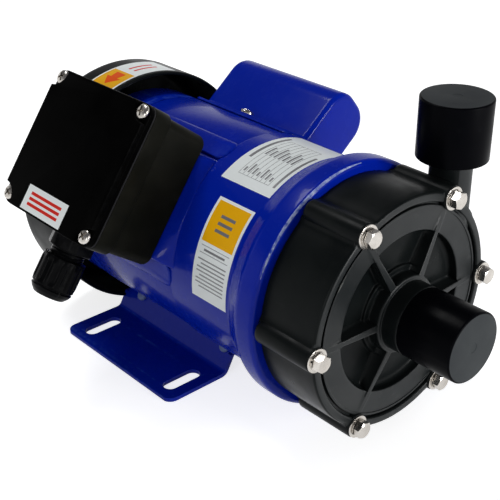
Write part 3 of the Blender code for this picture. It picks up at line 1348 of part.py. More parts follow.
def make_gland(box_line):
    """The cable gland: hexagon body, ribbed dome nut, seal and lock nut, with no cable in it."""
    matrix = gland_matrix()
    place = matrix.to_translation()
    turn = matrix.to_euler()
    wall_outer = 0.5 * BOX_WIDTH - BOX_RIM
    wall_inner = wall_outer - BOX_WALL
    flange_low = 0.5 * BOX_WIDTH + CLEARANCE
    flange_high = flange_low + GLAND_FLANGE
    neck_end = flange_high + GLAND_NECK
    thread_end = neck_end + GLAND_GRIP
    stub_end = wall_inner - LOCKNUT_THICKNESS - 3.0 * CLEARANCE
    flat_turn = math.pi / 6.0
    hexagon = regular_polygon(GLAND_HEX, turn=flat_turn)
    body = prism("gland_body", hexagon, flange_low, flange_high, axis="Z")
    barrel = rod("barrel", GLAND_THREAD, stub_end, thread_end, 20, axis="Z")
    fuse(body, barrel)
    cut(body, rod("bore", GLAND_BORE, stub_end - MM, thread_end + MM, 16, axis="Z"))
    finish_piece(body, "box_plastic", box_line, place, turn)

    nut_low = neck_end
    nut_high = nut_low + GLAND_NUT_LENGTH
    bore = GLAND_THREAD + CLEARANCE
    outer = bore + GLAND_NUT_WALL
    mouth = GLAND_BORE
    nut = turned("gland_nut", [
        (bore, nut_low),
        (outer, nut_low),
        (outer, nut_high - GLAND_DOME),
        (0.92 * outer, nut_high - 0.5 * GLAND_DOME),
        (0.72 * outer, nut_high),
        (mouth, nut_high),
        (mouth, nut_high - 0.3 * GLAND_DOME),
        (bore, nut_high - 0.7 * GLAND_DOME),
    ], HIDDEN_FACETS, axis="Z")
    ribs = []
    for index in range(GLAND_RIBS):
        angle = math.tau * index / GLAND_RIBS
        half = GLAND_RIB
        outline = [
            (outer - 0.5 * MM, -half),
            (outer + GLAND_RIB, -0.6 * half),
            (outer + GLAND_RIB, 0.6 * half),
            (outer - 0.5 * MM, half),
        ]
        rib = prism("rib", outline, nut_low + MM, nut_high - GLAND_DOME - 0.5 * MM, axis="Z")
        ribs.append(moved(rib, Matrix.Rotation(angle, 4, "Z")))
    fuse(nut, *ribs)
    finish_piece(nut, "box_plastic", box_line, place, turn)

    seal_low = thread_end + CLEARANCE
    seal_high = nut_high - 0.7 * GLAND_DOME - CLEARANCE
    seal_outer = bore - CLEARANCE
    seal = turned("gland_seal", [
        (seal_outer - GLAND_SEAL_WALL - MM, seal_low),
        (seal_outer, seal_low),
        (seal_outer, seal_high),
        (seal_outer - GLAND_SEAL_WALL - MM, seal_high),
    ], SMALL_FACETS, axis="Z")
    finish_piece(seal, "seal_rubber", box_line, place, turn)

    nut_outline = regular_polygon(LOCKNUT_HEX, turn=flat_turn)
    low = wall_inner - CLEARANCE - LOCKNUT_THICKNESS
    locknut = prism("gland_locknut", nut_outline, low, low + LOCKNUT_THICKNESS, axis="Z")
    cut(locknut, rod("bore", bore, low - MM, low + LOCKNUT_THICKNESS + MM, 16, axis="Z"))
    finish_piece(locknut, "box_plastic", box_line, place, turn)


def tombstone(width, top, base, radius, steps=4):
    """Outline in (x, z) of a section with a flat foot and two rounded top corners."""
    radius = min(radius, 0.499 * width)
    outline = [(-0.5 * width, base), (0.5 * width, base)]
    outline += arc((0.5 * width - radius, top - radius), radius, 0.0, 90.0, steps)
    outline += arc((-0.5 * width + radius, top - radius), radius, 90.0, 180.0, steps)
    return outline


def drawn_hood(name, width, top, radius, edge, front, back):
    """A tombstone-shaped solid whose two end faces are rolled over at their edges."""
    base = 0.6 * SHELL_RADIUS
    shape = bmesh.new()
    loops = []
    steps = 3
    stations = []
    for step in range(steps + 1):
        angle = 0.5 * math.pi * step / steps
        stations.append((front + edge * (1.0 - math.sin(angle)), edge * (1.0 - math.cos(angle))))
    ends = stations[::-1]
    ends = [(station, inset) for station, inset in ends]
    mirrored = [(front + back - station, inset) for station, inset in stations]
    for station, inset in ends + mirrored:
        outline = tombstone(width - 2.0 * inset, top - inset, base, radius - inset)
        loops.append([shape.verts.new((x, station, z)) for x, z in outline])
    shape.faces.new(loops[0])
    shape.faces.new(loops[-1])
    for near, far in zip(loops, loops[1:]):
        for index in range(len(near)):
            following = (index + 1) % len(near)
            shape.faces.new((near[index], near[following], far[following], far[index]))
    return new_object(name, shape)


def make_capacitor(capacitor_line):
    """The run capacitor under its drawn cover, whose flanges are screwed to the shell."""
    front = CAPACITOR_FRONT
    back = CAPACITOR_BACK
    top = SHELL_RADIUS + CAPACITOR_COVER_RISE
    sheet = CAPACITOR_COVER_SHEET
    seat = SHELL_RADIUS + CLEARANCE
    cover = drawn_hood(
        "capacitor_cover",
        CAPACITOR_COVER_WIDTH,
        top,
        CAPACITOR_COVER_ROUND,
        CAPACITOR_COVER_EDGE,
        front,
        back,
    )
    flange = turned("flange", [
        (seat - MM, front),
        (seat + sheet, front),
        (seat + sheet, back),
        (seat - MM, back),
    ], 60)
    length = back - front - 2.0 * CAPACITOR_FLANGE_INSET
    width = CAPACITOR_COVER_WIDTH + 2.0 * CAPACITOR_FLANGE
    middle = (0.0, 0.5 * (front + back))
    outline = rounded_rectangle(width, length, 5.0 * MM, 3, middle)
    keep(flange, prism("trim", outline, 0.3 * SHELL_RADIUS, 1.5 * SHELL_RADIUS, axis="Z"))
    fuse(cover, flange)
    hollow = drawn_hood(
        "hollow",
        CAPACITOR_COVER_WIDTH - 2.0 * sheet,
        top - sheet,
        CAPACITOR_COVER_ROUND - sheet,
        max(CAPACITOR_COVER_EDGE - sheet, 0.5 * MM),
        front + sheet,
        back - sheet,
    )
    cut(cover, hollow, rod("shell_bore", seat, front - 12.0 * MM, back + 12.0 * MM, 60))
    holes = [screw_tool(place, CAPACITOR_SCREW_RADIUS + CLEARANCE) for place in capacitor_screws()]
    cut(cover, *holes)
    finish_piece(cover, "enamel", capacitor_line)

    radius = 0.5 * CAPACITOR_COVER_WIDTH - sheet - CLEARANCE
    centre = (0.0, seat + radius)
    start = 0.5 * (front + back) - 0.5 * CAPACITOR_LENGTH
    can = rod("capacitor", radius, start, start + CAPACITOR_LENGTH, 20, centre=centre)
    finish_piece(can, "capacitor_can", capacitor_line)

    for index, (angle, station) in enumerate(capacitor_screws(), start=1):
        head = seat + sheet + CLEARANCE
        profile = pan_head_profile(
            CAPACITOR_SCREW_RADIUS,
            CAPACITOR_SCREW_HEAD,
            CAPACITOR_SCREW_RISE,
            SHELL_BORE + 2.0 * CLEARANCE,
            head,
        )
        screw = turned(f"capacitor_screw_{index}", profile, SCREW_FACETS, axis="Z")
        finish_piece(screw, "zinc", capacitor_line, (0.0, station, 0.0), (0.0, angle, 0.0))


def capacitor_screws():
    """Turn about the shaft and station of each screw in the cover's flanges."""
    reach = 0.5 * CAPACITOR_COVER_WIDTH + 0.55 * CAPACITOR_FLANGE
    angle = math.asin(reach / SHELL_RADIUS)
    middle = 0.5 * (CAPACITOR_FRONT + CAPACITOR_BACK)
    return ((-angle, middle), (angle, middle))


def screw_tool(place, radius):
    """A hole tool that points away from the shaft."""
    angle, station = place
    tool = rod("screw_hole", radius, 0.5 * SHELL_RADIUS, 1.5 * SHELL_RADIUS, SCREW_FACETS, axis="Z")
    return moved(tool, Matrix.Translation((0.0, station, 0.0)) @ Matrix.Rotation(angle, 4, "Y"))


def wall_line(offset):
    """A point and the upward direction of a line that lies this far behind the foot wall's face.

    The line is in the XZ plane of the +X foot, whose wall leans in from the bend to the shell.
    """
    outward = Vector((math.sin(FOOT_LEAN), math.cos(FOOT_LEAN)))
    upward = Vector((-math.cos(FOOT_LEAN), math.sin(FOOT_LEAN)))
    return Vector((FOOT_BEND, FOOT_TOP)) - outward * offset, upward


def reach(offset, radius):
    """Where the line this far behind the foot wall's face meets a circle round the shaft."""
    point, upward = wall_line(offset)
    along = point.dot(upward)
    span = along * along - point.length_squared + radius * radius
    return point - upward * (along + math.sqrt(span))


def foot_section():
    """Outline in (x, z) of the +X foot's bent sheet, from its outer edge to the wall's top."""
    radius = FOOT_BEND_RADIUS
    centre = (FOOT_BEND + radius * math.tan(0.5 * FOOT_LEAN), FOOT_TOP + radius)
    wall_side = 270.0 - math.degrees(FOOT_LEAN)
    top = SHELL_RADIUS + CLEARANCE
    outline = [(FOOT_OUTER, -AXIS_HEIGHT), (FOOT_OUTER, FOOT_TOP)]
    outline += arc(centre, radius, 270.0, wall_side, 3)
    outline += [tuple(reach(0.0, top)), tuple(reach(FOOT_SHEET, top))]
    outline += arc(centre, radius + FOOT_SHEET, wall_side, 270.0, 3)
    return outline


def foot_plan():
    """Outline in (x, y) of the +X foot seen from above, with its wall relieved at both ends."""
    relief = FOOT_BEND + FOOT_SHEET
    corner_x = FOOT_OUTER - FOOT_ROUND
    outline = [(0.0, FOOT_WALL_FRONT), (relief, FOOT_WALL_FRONT), (relief + MM, FOOT_FRONT)]
    outline += arc((corner_x, FOOT_FRONT + FOOT_ROUND), FOOT_ROUND, 270.0, 355.0, 4)
    outline += arc((corner_x, FOOT_BACK - FOOT_ROUND), FOOT_ROUND, 5.0, 90.0, 4)
    outline += [(relief + MM, FOOT_BACK), (relief, FOOT_WALL_BACK), (0.0, FOOT_WALL_BACK)]
    return outline


def foot_screws():
    """Stations of the two screws in each foot."""
    return FOOT_FRONT + FOOT_SCREW_FRONT, FOOT_BACK - FOOT_SCREW_REAR


def foot_screw_matrix(side, station):
    """Frame of a foot screw: its origin on the wall's face, its local Z pointing away from it."""
    _, upward = wall_line(0.0)
    drop = FOOT_SCREW_HEAD + FOOT_SCREW_DROP
    point = reach(0.0, SHELL_RADIUS + CLEARANCE) - upward * drop
    place = Matrix.Translation((side * point.x, station, point.y))
    return place @ Matrix.Rotation(side * FOOT_LEAN, 4, "Y")


def foot_screw_holes(side):
    """Hole tools for the screws of one foot, through the wall and the cradle's leg."""
    tools = []
    depth = 3.0 * (FOOT_SHEET + CRADLE_SHEET)
    for station in foot_screws():
        tool = rod("screw_hole", FOOT_SCREW_RADIUS + CLEARANCE, -depth, 3.0 * MM, SCREW_FACETS, axis="Z")
        tools.append(moved(tool, foot_screw_matrix(side, station)))
    return tools


def make_foot(shaft_line, name, side):
    """One pressed foot with two slots across it, and its two screws."""
    section = [(side * x, z) for x, z in foot_section()]
    foot = prism(name, section, FOOT_FRONT - MM, FOOT_BACK + MM)
    plan = [(side * x, y) for x, y in foot_plan()]
    keep(foot, prism("plan", plan, -AXIS_HEIGHT - 5.0 * MM, 0.0, axis="Z"))
    slots = []
    for station in (FOOT_FRONT + FOOT_SLOT_FRONT, FOOT_BACK - FOOT_SLOT_REAR):
        centre = (side * FOOT_SLOT_CENTRE, station)
        width = FOOT_SLOT_WIDTH
        outline = rounded_rectangle(FOOT_SLOT_LENGTH, width, 0.5 * width, 3, centre)
        slots.append(prism("slot", outline, -AXIS_HEIGHT - 5.0 * MM, FOOT_TOP + 5.0 * MM, axis="Z"))
    cut(foot, *slots, *foot_screw_holes(side))
    finish_piece(foot, "enamel", shaft_line)


def cradle_section():
    """Outline in (x, z) of the cradle: a strap round the shell's underside with two legs."""
    inner = SHELL_RADIUS + CLEARANCE
    outer = inner + CRADLE_SHEET
    _, upward = wall_line(0.0)
    leg_face = FOOT_SHEET + CLEARANCE
    leg_back = leg_face + CRADLE_SHEET
    face_top = reach(leg_face, inner)
    back_top = reach(leg_back, outer)
    face_low = face_top - upward * CRADLE_LEG
    outward = Vector((math.sin(FOOT_LEAN), math.cos(FOOT_LEAN)))
    back_low = face_low - outward * CRADLE_SHEET
    inner_angle = math.degrees(math.atan2(face_top.y, face_top.x))
    outer_angle = math.degrees(math.atan2(back_top.y, back_top.x))
    outline = arc((0.0, 0.0), inner, -180.0 - inner_angle, inner_angle, 12)
    outline += [tuple(face_low), tuple(back_low)]
    outline += arc((0.0, 0.0), outer, outer_angle, -180.0 - outer_angle, 12)
    outline += [(-back_low.x, back_low.y), (-face_low.x, face_low.y)]
    return outline


def make_feet(shaft_line):
    """Both feet, the cradle between them and the screws that hold them together."""
    cradle = prism("motor_cradle", cradle_section(), CRADLE_FRONT, CRADLE_BACK)
    half = 0.5 * LUG_WIDTH + RUNNING_GAP
    outline = [(-half, SHELL_BACK), (half, SHELL_BACK), (half, CRADLE_BACK + MM), (-half, CRADLE_BACK + MM)]
    relief = prism("relief", outline, -AXIS_HEIGHT, 0.0, axis="Z")
    cut(cradle, relief, *foot_screw_holes(1.0), *foot_screw_holes(-1.0))
    finish_piece(cradle, "dark_enamel", shaft_line)
    make_foot(shaft_line, "foot_left", -1.0)
    make_foot(shaft_line, "foot_right", 1.0)
    number = 0
    tip = -(FOOT_SHEET + CLEARANCE + CRADLE_SHEET + FOOT_SCREW_TAIL)
    for side in (-1.0, 1.0):
        for station in foot_screws():
            number += 1
            profile = pan_head_profile(
                FOOT_SCREW_RADIUS, FOOT_SCREW_HEAD, FOOT_SCREW_RISE, tip, CLEARANCE
            )
            screw = turned(f"foot_screw_{number}", profile, SCREW_FACETS, axis="Z")
            matrix = foot_screw_matrix(side, station)
            finish_piece(screw, "dark_enamel", shaft_line, matrix.to_translation(), matrix.to_euler())


def stand_on_origin(root):
    """Move the root so that the bottom centre of the whole pump's box is at the origin."""
    bpy.context.view_layer.update()
    corners = []
    for piece in bpy.data.objects:
        if piece.type == "MESH":
            corners += [piece.matrix_world @ vertex.co for vertex in piece.data.vertices]
    low = [min(corner[axis] for corner in corners) for axis in range(3)]
    high = [max(corner[axis] for corner in corners) for axis in range(3)]
    root.location = (-0.5 * (low[0] + high[0]), -0.5 * (low[1] + high[1]), -low[2])
    bpy.context.view_layer.update()


def main():
    """Build the whole pump and stand it on its origin."""
    clear_scene()
    root = new_empty("pump")
    shaft_line = new_empty("shaft_line", root, (0.0, 0.0, AXIS_HEIGHT))
    box_line = new_empty("terminal_line", shaft_line, rotation=(0.0, terminal_turn(), 0.0))
    capacitor_line = new_empty("capacitor_line", shaft_line, rotation=(0.0, capacitor_turn(), 0.0))
    make_front_casing(shaft_line)
    make_caps(shaft_line)
    make_casing_bolts(shaft_line)
    make_rear_casing(shaft_line)
    make_impeller(shaft_line)
    make_drive_magnet(shaft_line)
    make_motor_bracket(shaft_line)
    make_motor_shell(shaft_line)
    make_stator(shaft_line)
    make_rotor(shaft_line)
    make_bearings(shaft_line)
    make_end_shield(shaft_line)
    make_fan(shaft_line)
    make_fan_cover(shaft_line)
    make_saddle(box_line)
    make_terminal_box(box_line)
    make_lid(box_line)
    make_terminal_block(box_line)
    make_gland(box_line)
    make_capacitor(capacitor_line)
    make_feet(shaft_line)
    stand_on_origin(root)
    print("origin of the shaft line:", [round(value, 5) for value in shaft_line.matrix_world.translation])


if __name__ == "__main__":
    main()
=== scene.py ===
"""Looks of a magnetic drive pump: black moulded pump head, blue enamelled motor, black terminal box.

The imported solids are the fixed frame. Each sub-assembly below is a class that reads its place from
that frame, works out finer surfaces with numpy and gives them their finishes. Lengths are in metres.
Shapes are worked out in the shaft frame: X across, Y along the shaft towards the fan, Z up, with the
origin on the shaft line at the front faces of the casing's bolt bosses.
"""

from __future__ import annotations

import logging
import math
from dataclasses import dataclass, replace
from enum import Enum

import bmesh
import bpy
import numpy as np
from mathutils import Matrix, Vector
from numpy.typing import NDArray

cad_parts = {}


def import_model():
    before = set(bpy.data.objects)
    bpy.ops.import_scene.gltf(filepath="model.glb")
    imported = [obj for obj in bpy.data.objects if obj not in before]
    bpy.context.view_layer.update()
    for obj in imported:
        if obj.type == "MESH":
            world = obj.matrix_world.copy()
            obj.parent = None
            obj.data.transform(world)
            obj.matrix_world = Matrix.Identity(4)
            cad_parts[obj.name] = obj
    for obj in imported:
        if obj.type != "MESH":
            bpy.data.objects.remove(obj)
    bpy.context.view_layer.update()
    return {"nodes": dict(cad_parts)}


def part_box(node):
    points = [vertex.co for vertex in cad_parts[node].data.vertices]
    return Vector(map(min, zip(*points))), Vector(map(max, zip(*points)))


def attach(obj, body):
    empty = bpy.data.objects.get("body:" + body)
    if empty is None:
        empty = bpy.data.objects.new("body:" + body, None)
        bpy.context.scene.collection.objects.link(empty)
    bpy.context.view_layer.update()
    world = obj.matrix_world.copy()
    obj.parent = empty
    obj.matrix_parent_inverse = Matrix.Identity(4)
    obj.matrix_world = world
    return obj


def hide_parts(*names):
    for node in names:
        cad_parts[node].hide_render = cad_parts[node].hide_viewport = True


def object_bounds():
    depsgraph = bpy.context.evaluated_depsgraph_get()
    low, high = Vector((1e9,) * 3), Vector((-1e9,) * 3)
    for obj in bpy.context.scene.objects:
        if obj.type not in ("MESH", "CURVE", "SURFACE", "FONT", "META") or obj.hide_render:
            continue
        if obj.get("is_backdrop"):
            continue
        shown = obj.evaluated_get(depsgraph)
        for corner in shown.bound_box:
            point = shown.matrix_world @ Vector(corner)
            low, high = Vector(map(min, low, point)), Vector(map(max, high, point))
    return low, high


LOG = logging.getLogger("pump")
MM = 0.001
Array = NDArray[np.float64]
Colour = tuple[float, float, float]
Pair = tuple[float, float]
Box = tuple[float, float, float, float]
ACROSS, ALONG, UPWARD = np.eye(3)
GREY = (0.5, 0.5, 0.5, 1.0)


class Body(Enum):
    """The bodies that new pieces ride on."""

    PUMP = "pump"
    SUCTION_CAP = "suction_cap"
    DISCHARGE_CAP = "discharge_cap"


class Slot(Enum):
    """The record's material slots, named when each new piece is made."""

    MOULDED = "moulded_plastic"
    CAP = "cap_rubber"
    SEAL = "seal_rubber"
    ENAMEL = "blue_enamel"
    PLATED = "plated_steel"
    BOX = "box_plastic"


# Numpy surfaces


@dataclass(frozen=True)
class Axes:
    """A right-handed frame inside the shaft frame: an origin and the directions across, up and out."""

    origin: Array
    across: Array
    up: Array
    out: Array

    @staticmethod
    def along(origin: Array, out: Array, across: Array) -> Axes:
        """Make a frame from its origin and two of its directions.

        Args:
            origin: where it stands.
            out: its third direction.
            across: its first direction, at right angles to out.

        Returns:
            The frame, with up as the cross product of out and across.
        """
        out = np.asarray(out, float) / np.linalg.norm(out)
        across = np.asarray(across, float) / np.linalg.norm(across)
        return Axes(np.asarray(origin, float), across, np.cross(out, across), out)

    def at(self, x: Array | float, y: Array | float, h: Array | float) -> Array:
        """Points origin + x across + y up + h out, for arrays of matching shapes."""
        x, y, h = np.broadcast_arrays(np.asarray(x, float), y, h)
        return self.origin + x[..., None] * self.across + y[..., None] * self.up + h[..., None] * self.out

    def polar(self, radius: Array | float, angle: Array | float, h: Array | float) -> Array:
        """Points at x = radius cos(angle) across and y = radius sin(angle) up."""
        return self.at(radius * np.cos(angle), radius * np.sin(angle), h)

    def moved(self, x: float, y: float, h: float) -> Axes:
        """The same directions from another origin."""
        return replace(self, origin=self.at(x, y, h))


@dataclass
class Shell:
    """One closed surface: its points, and its faces as a flat list of corners with each face's size."""

    points: Array
    corners: NDArray[np.int64]
    sizes: NDArray[np.int64]


def tube(rows: Array, ring: bool = False, caps: bool = True) -> Shell:
    """Skin a grid of points whose columns close into a loop.

    Face (i, j) joins points (i, j), (i, j + 1), (i + 1, j + 1) and (i + 1, j), with j taken round the loop.

    Args:
        rows: points of shape (rows, columns, 3).
        ring: whether the last row joins the first one.
        caps: whether one flat face closes each end of an open grid.

    Returns:
        The skinned shell.
    """
    count, around = rows.shape[:2]
    index = np.arange(count * around).reshape(count, around)
    near = index if ring else index[:-1]
    far = np.roll(index, -1, axis=0) if ring else index[1:]
    quads = np.stack([near, np.roll(near, -1, axis=1), np.roll(far, -1, axis=1), far], axis=-1)
    corners = quads.reshape(-1)
    sizes = np.full(corners.size // 4, 4)
    if caps and not ring:
        corners = np.concatenate([corners, index[0][::-1], index[-1]])
        sizes = np.concatenate([sizes, [around, around]])
    return Shell(rows.reshape(-1, 3), corners, sizes)


def slab(top: Array, bottom: Array) -> Shell:
    """Close a sheet: a grid of points, the same grid a thickness below it, and a wall round both.

    Each row becomes a loop of its top points followed by its bottom points backwards. Quads from
    point i to its mirror close the two ends.

    Args:
        top: points of shape (rows, columns, 3).
        bottom: points of the same shape.

    Returns:
        The closed sheet.
    """
    rows, columns = top.shape[:2]
    belt = tube(np.concatenate([top, bottom[:, ::-1]], axis=1), caps=False)
    width = 2 * columns
    i = np.arange(columns - 1)
    end = np.stack([i, i + 1, width - 2 - i, width - 1 - i], axis=-1)
    far_end = end + (rows - 1) * width
    corners = np.concatenate([belt.corners, end[:, ::-1].reshape(-1), far_end.reshape(-1)])
    sizes = np.concatenate([belt.sizes, np.full(2 * (columns - 1), 4)])
    return Shell(belt.points, corners, sizes)


def rounded(corners: Array, radii: Array | float, steps: int = 4, closed: bool = True) -> Array:
    """Replace an outline's corners by circular arcs.

    Each arc is the rational curve ((1-q)^2 A + 2q(1-q) w P + q^2 B) / ((1-q)^2 + 2q(1-q) w + q^2), where P
    is the corner, A and B lie radius / tan(half the corner's angle) away on its two sides, and w is the
    sine of half the angle.

    Args:
        corners: outline points of shape (n, 2).
        radii: one radius, or one for each corner.
        steps: segments in each arc.
        closed: whether the last corner joins the first.

    Returns:
        The rounded outline, of shape (m, 2).
    """
    corners = np.asarray(corners, float)
    radii = np.broadcast_to(np.asarray(radii, float), len(corners)).copy()
    back = np.roll(corners, 1, axis=0) - corners
    ahead = np.roll(corners, -1, axis=0) - corners
    if not closed:
        radii[[0, -1]] = 0.0
        back[0], ahead[-1] = -ahead[0], -back[-1]
    back /= np.linalg.norm(back, axis=1, keepdims=True)
    ahead /= np.linalg.norm(ahead, axis=1, keepdims=True)
    half = 0.5 * np.arccos(np.clip((back * ahead).sum(axis=1), -1.0, 1.0))
    reach = (radii / np.tan(np.maximum(half, 1e-6)))[:, None, None]
    weight = np.sin(half)[:, None, None]
    q = np.linspace(0.0, 1.0, steps + 1)[None, :, None]
    start = corners[:, None] + back[:, None] * reach
    stop = corners[:, None] + ahead[:, None] * reach
    above = (1 - q) ** 2 * start + 2 * q * (1 - q) * weight * corners[:, None] + q**2 * stop
    below = (1 - q) ** 2 + 2 * q * (1 - q) * weight + q**2
    path = (above / below).reshape(-1, 2)
    gap = np.linalg.norm(path - np.roll(path, 1, axis=0), axis=1)
    gap[0] = gap[0] if closed else 1.0
    return path[gap > 1e-8]


def filleted(corners: list[tuple[float, float, float]], steps: int = 4, closed: bool = False) -> Array:
    """Round a path whose corners are given as (first coordinate, second coordinate, radius)."""
    table = np.array(corners)
    return rounded(table[:, :2], table[:, 2], steps, closed)


def dense(path: Array, step: float) -> Array:
    """Add points to an open path so that none of its segments is longer than step."""
    span = np.diff(path, axis=0)
    parts = np.maximum(1, np.ceil(np.linalg.norm(span, axis=1) / step).astype(int))
    start = np.repeat(path[:-1], parts, axis=0)
    first = np.repeat(np.cumsum(parts) - parts, parts)
    share = (np.arange(parts.sum()) - first) / np.repeat(parts, parts)
    return np.vstack([start + np.repeat(span, parts, axis=0) * share[:, None], path[-1:]])


def inset(outline: Array, distance: float) -> Array:
    """Move a counter-clockwise outline inwards.

    Each point moves along the mitre (a + b) / (1 + a.b), where a and b are its two sides' inward normals.

    Args:
        outline: points of shape (n, 2).
        distance: how far each side moves.

    Returns:
        The smaller outline, of the same shape.
    """
    ahead = np.roll(outline, -1, axis=0) - outline
    back = outline - np.roll(outline, 1, axis=0)
    a = np.stack([-back[:, 1], back[:, 0]], axis=1) / np.linalg.norm(back, axis=1, keepdims=True)
    b = np.stack([-ahead[:, 1], ahead[:, 0]], axis=1) / np.linalg.norm(ahead, axis=1, keepdims=True)
    return outline + distance * (a + b) / (1.0 + (a * b).sum(axis=1, keepdims=True))


def rectangle(
    width: float, height: float, radius: float, steps: int = 5, centre: Pair = (0.0, 0.0)
) -> Array:
    """Counter-clockwise rectangle with rounded corners."""
    x, y = 0.5 * width, 0.5 * height
    corners = np.array([(x, -y), (x, y), (-x, y), (-x, -y)]) + np.asarray(centre, float)
    return rounded(corners, radius, steps)


def prism(axes: Axes, outline: Array, low: float, high: float) -> Shell:
    """Carry an outline from low to high along out, with square rims."""
    rows = np.stack([outline, outline])
    return tube(axes.at(rows[..., 0], rows[..., 1], np.array([low, high])[:, None]))


def block(axes: Axes, outline: Array, low: float, high: float, low_edge: float, high_edge: float) -> Shell:
    """Carry an outline from low to high along out, with both rims rolled over.

    On a rim of radius e the outline moves in by e (1 - sin a) while it climbs e (1 - cos a), for a from
    nothing to a right angle.

    Args:
        axes: frame whose across and up hold the outline.
        outline: counter-clockwise points of shape (n, 2).
        low: height of the lower face.
        high: height of the upper face.
        low_edge: radius of the lower rim.
        high_edge: radius of the upper rim.

    Returns:
        The closed block.
    """
    turn = np.linspace(0.0, 0.5 * math.pi, 5)
    insets = np.concatenate([low_edge * (1 - np.sin(turn)), high_edge * (1 - np.cos(turn))])
    heights = np.concatenate([low + low_edge * (1 - np.cos(turn)), high - high_edge * (1 - np.sin(turn))])
    rows = np.stack([inset(outline, distance) for distance in insets])
    return tube(axes.at(rows[..., 0], rows[..., 1], heights[:, None]))


def revolve(axes: Axes, profile: Array, around: int = 96, ring: bool = True) -> Shell:
    """Turn a (radius, height) profile about out: point (i, j) is r_i (cos a_j, sin a_j) at height h_i."""
    angle = np.linspace(0.0, math.tau, around, endpoint=False)
    return tube(axes.polar(profile[:, :1], angle, profile[:, 1:]), ring=ring, caps=False)


def bent_sheet(axes: Axes, outline: Array, bore: float, sheet: float) -> Shell:
    """Lay a flat convex outline on a round shell as a sheet with a soft edge.

    A point at x across stands at height sqrt(r^2 - x^2), where r runs from the bore to bore + sheet.

    Args:
        axes: frame whose across and up hold the outline, with out away from the shaft.
        outline: counter-clockwise points of shape (n, 2).
        bore: radius of the sheet's inner face.
        sheet: its thickness.

    Returns:
        The closed sheet.
    """
    outline = dense(np.vstack([outline, outline[:1]]), 2.5 * MM)[:-1]
    soft = 0.35 * sheet
    pairs = ((soft, 0.0), (0.0, soft), (0.0, sheet - soft), (soft, sheet))
    rings = np.stack([inset(outline, distance) for distance, _ in pairs])
    radius = bore + np.array([lift for _, lift in pairs])[:, None]
    middle = outline.mean(axis=0)
    rings = np.concatenate([middle + 0.5 * (rings[:1] - middle), rings, middle + 0.5 * (rings[-1:] - middle)])
    radius = np.concatenate([radius[:1], radius, radius[-1:]])
    height = np.sqrt(radius**2 - rings[..., 0] ** 2)
    return tube(axes.at(rings[..., 0], rings[..., 1], height))


def cross_radius(angle: Array, arm: float, half: float) -> Array:
    """Distance from the middle of a plus sign to its outline, in each direction."""
    c = np.maximum(np.abs(np.cos(angle)), 1e-9)
    s = np.maximum(np.abs(np.sin(angle)), 1e-9)
    return np.maximum(np.minimum(arm / c, half / s), np.minimum(half / c, arm / s))


def pan_screw(axes: Axes, radius: float, rise: float, turn: float = 0.5) -> Shell:
    """A pan head with a cross recess, seated at height nought.

    The dome's height at radius r is rise (0.4 + 0.6 sqrt(1 - (r / radius)^2)). Inside it the rows take the
    outline of a plus sign, first on the dome and then tapered down into the recess.

    Args:
        axes: the head's seat, with out along the screw.
        radius: radius of the head.
        rise: height of the head.
        turn: how far round its axis the recess stands.

    Returns:
        The closed head.
    """
    arm, half = 0.62 * radius, 0.14 * radius
    key = math.atan2(half, arm)
    quarter = np.array([0.0, key, 0.5 * (key + 0.25 * math.pi), 0.25 * math.pi])
    quarter = np.concatenate([quarter, 0.5 * math.pi - quarter[-2:0:-1]])
    angle = (quarter[None] + 0.5 * math.pi * np.arange(4)[:, None]).reshape(-1)
    shares = np.array([1.0, 1.0, 0.97, 0.9, 0.8, 0.7])
    ring = shares[:, None] * radius * np.ones_like(angle)
    plus = cross_radius(angle, arm, half)
    ring = np.vstack([ring, plus, 0.8 * plus, 0.0 * plus])
    dome = 0.4 * rise + 0.6 * rise * np.sqrt(np.clip(1.0 - (ring / radius) ** 2, 0.0, 1.0))
    dome[0] = 0.0
    recess_floor = 0.25 * rise
    dome[-2:] = recess_floor
    return tube(axes.polar(ring, angle + turn, dome), caps=False)


def shank(seat: Axes, radius: float, end: float, tip: float = 0.0) -> Shell:
    """A screw's plain shank from its seat down to its end, with a cone of the tip's length at the end."""
    start = 0.1 * MM
    profile = np.array([(0.0, start), (radius, start), (radius, end + tip), (0.0, end)])
    return revolve(seat, profile, 24, ring=False)


def hexagon_radius(angle: Array, flats: float) -> Array:
    """Distance from the middle of a hexagon to its outline: half the flats over cos(turn off a flat)."""
    off = np.mod(angle, math.pi / 3) - math.pi / 6
    return 0.5 * flats / np.cos(off)


def hexagon_head(axes: Axes, flats: float, height: float, turn: float) -> Shell:
    """A hexagon head with a shallow dish in its top.

    A 30 degree cone chamfers its corners: outside the top's round land the crown falls by tan 30 degrees
    times the distance from the land.

    Args:
        axes: the head's seat, with out along the bolt.
        flats: width across flats.
        height: height of the head.
        turn: how far round its axis the head stands.

    Returns:
        The closed head.
    """
    angle = np.linspace(0.0, math.tau, 72, endpoint=False)
    outline = hexagon_radius(angle, flats)
    level = np.ones_like(angle)
    land, dish = 0.47 * flats, 0.36 * flats
    step, sunk = height - 0.1 * MM, height - 0.25 * MM
    crown = height - (outline - land) * math.tan(math.radians(30.0))
    rings = np.stack([outline, outline, land * level, dish * level, 0.0 * level])
    tops = np.stack([0.0 * level, crown, height * level, step * level, sunk * level])
    return tube(axes.polar(rings, angle + turn, tops), caps=False)


# The frame


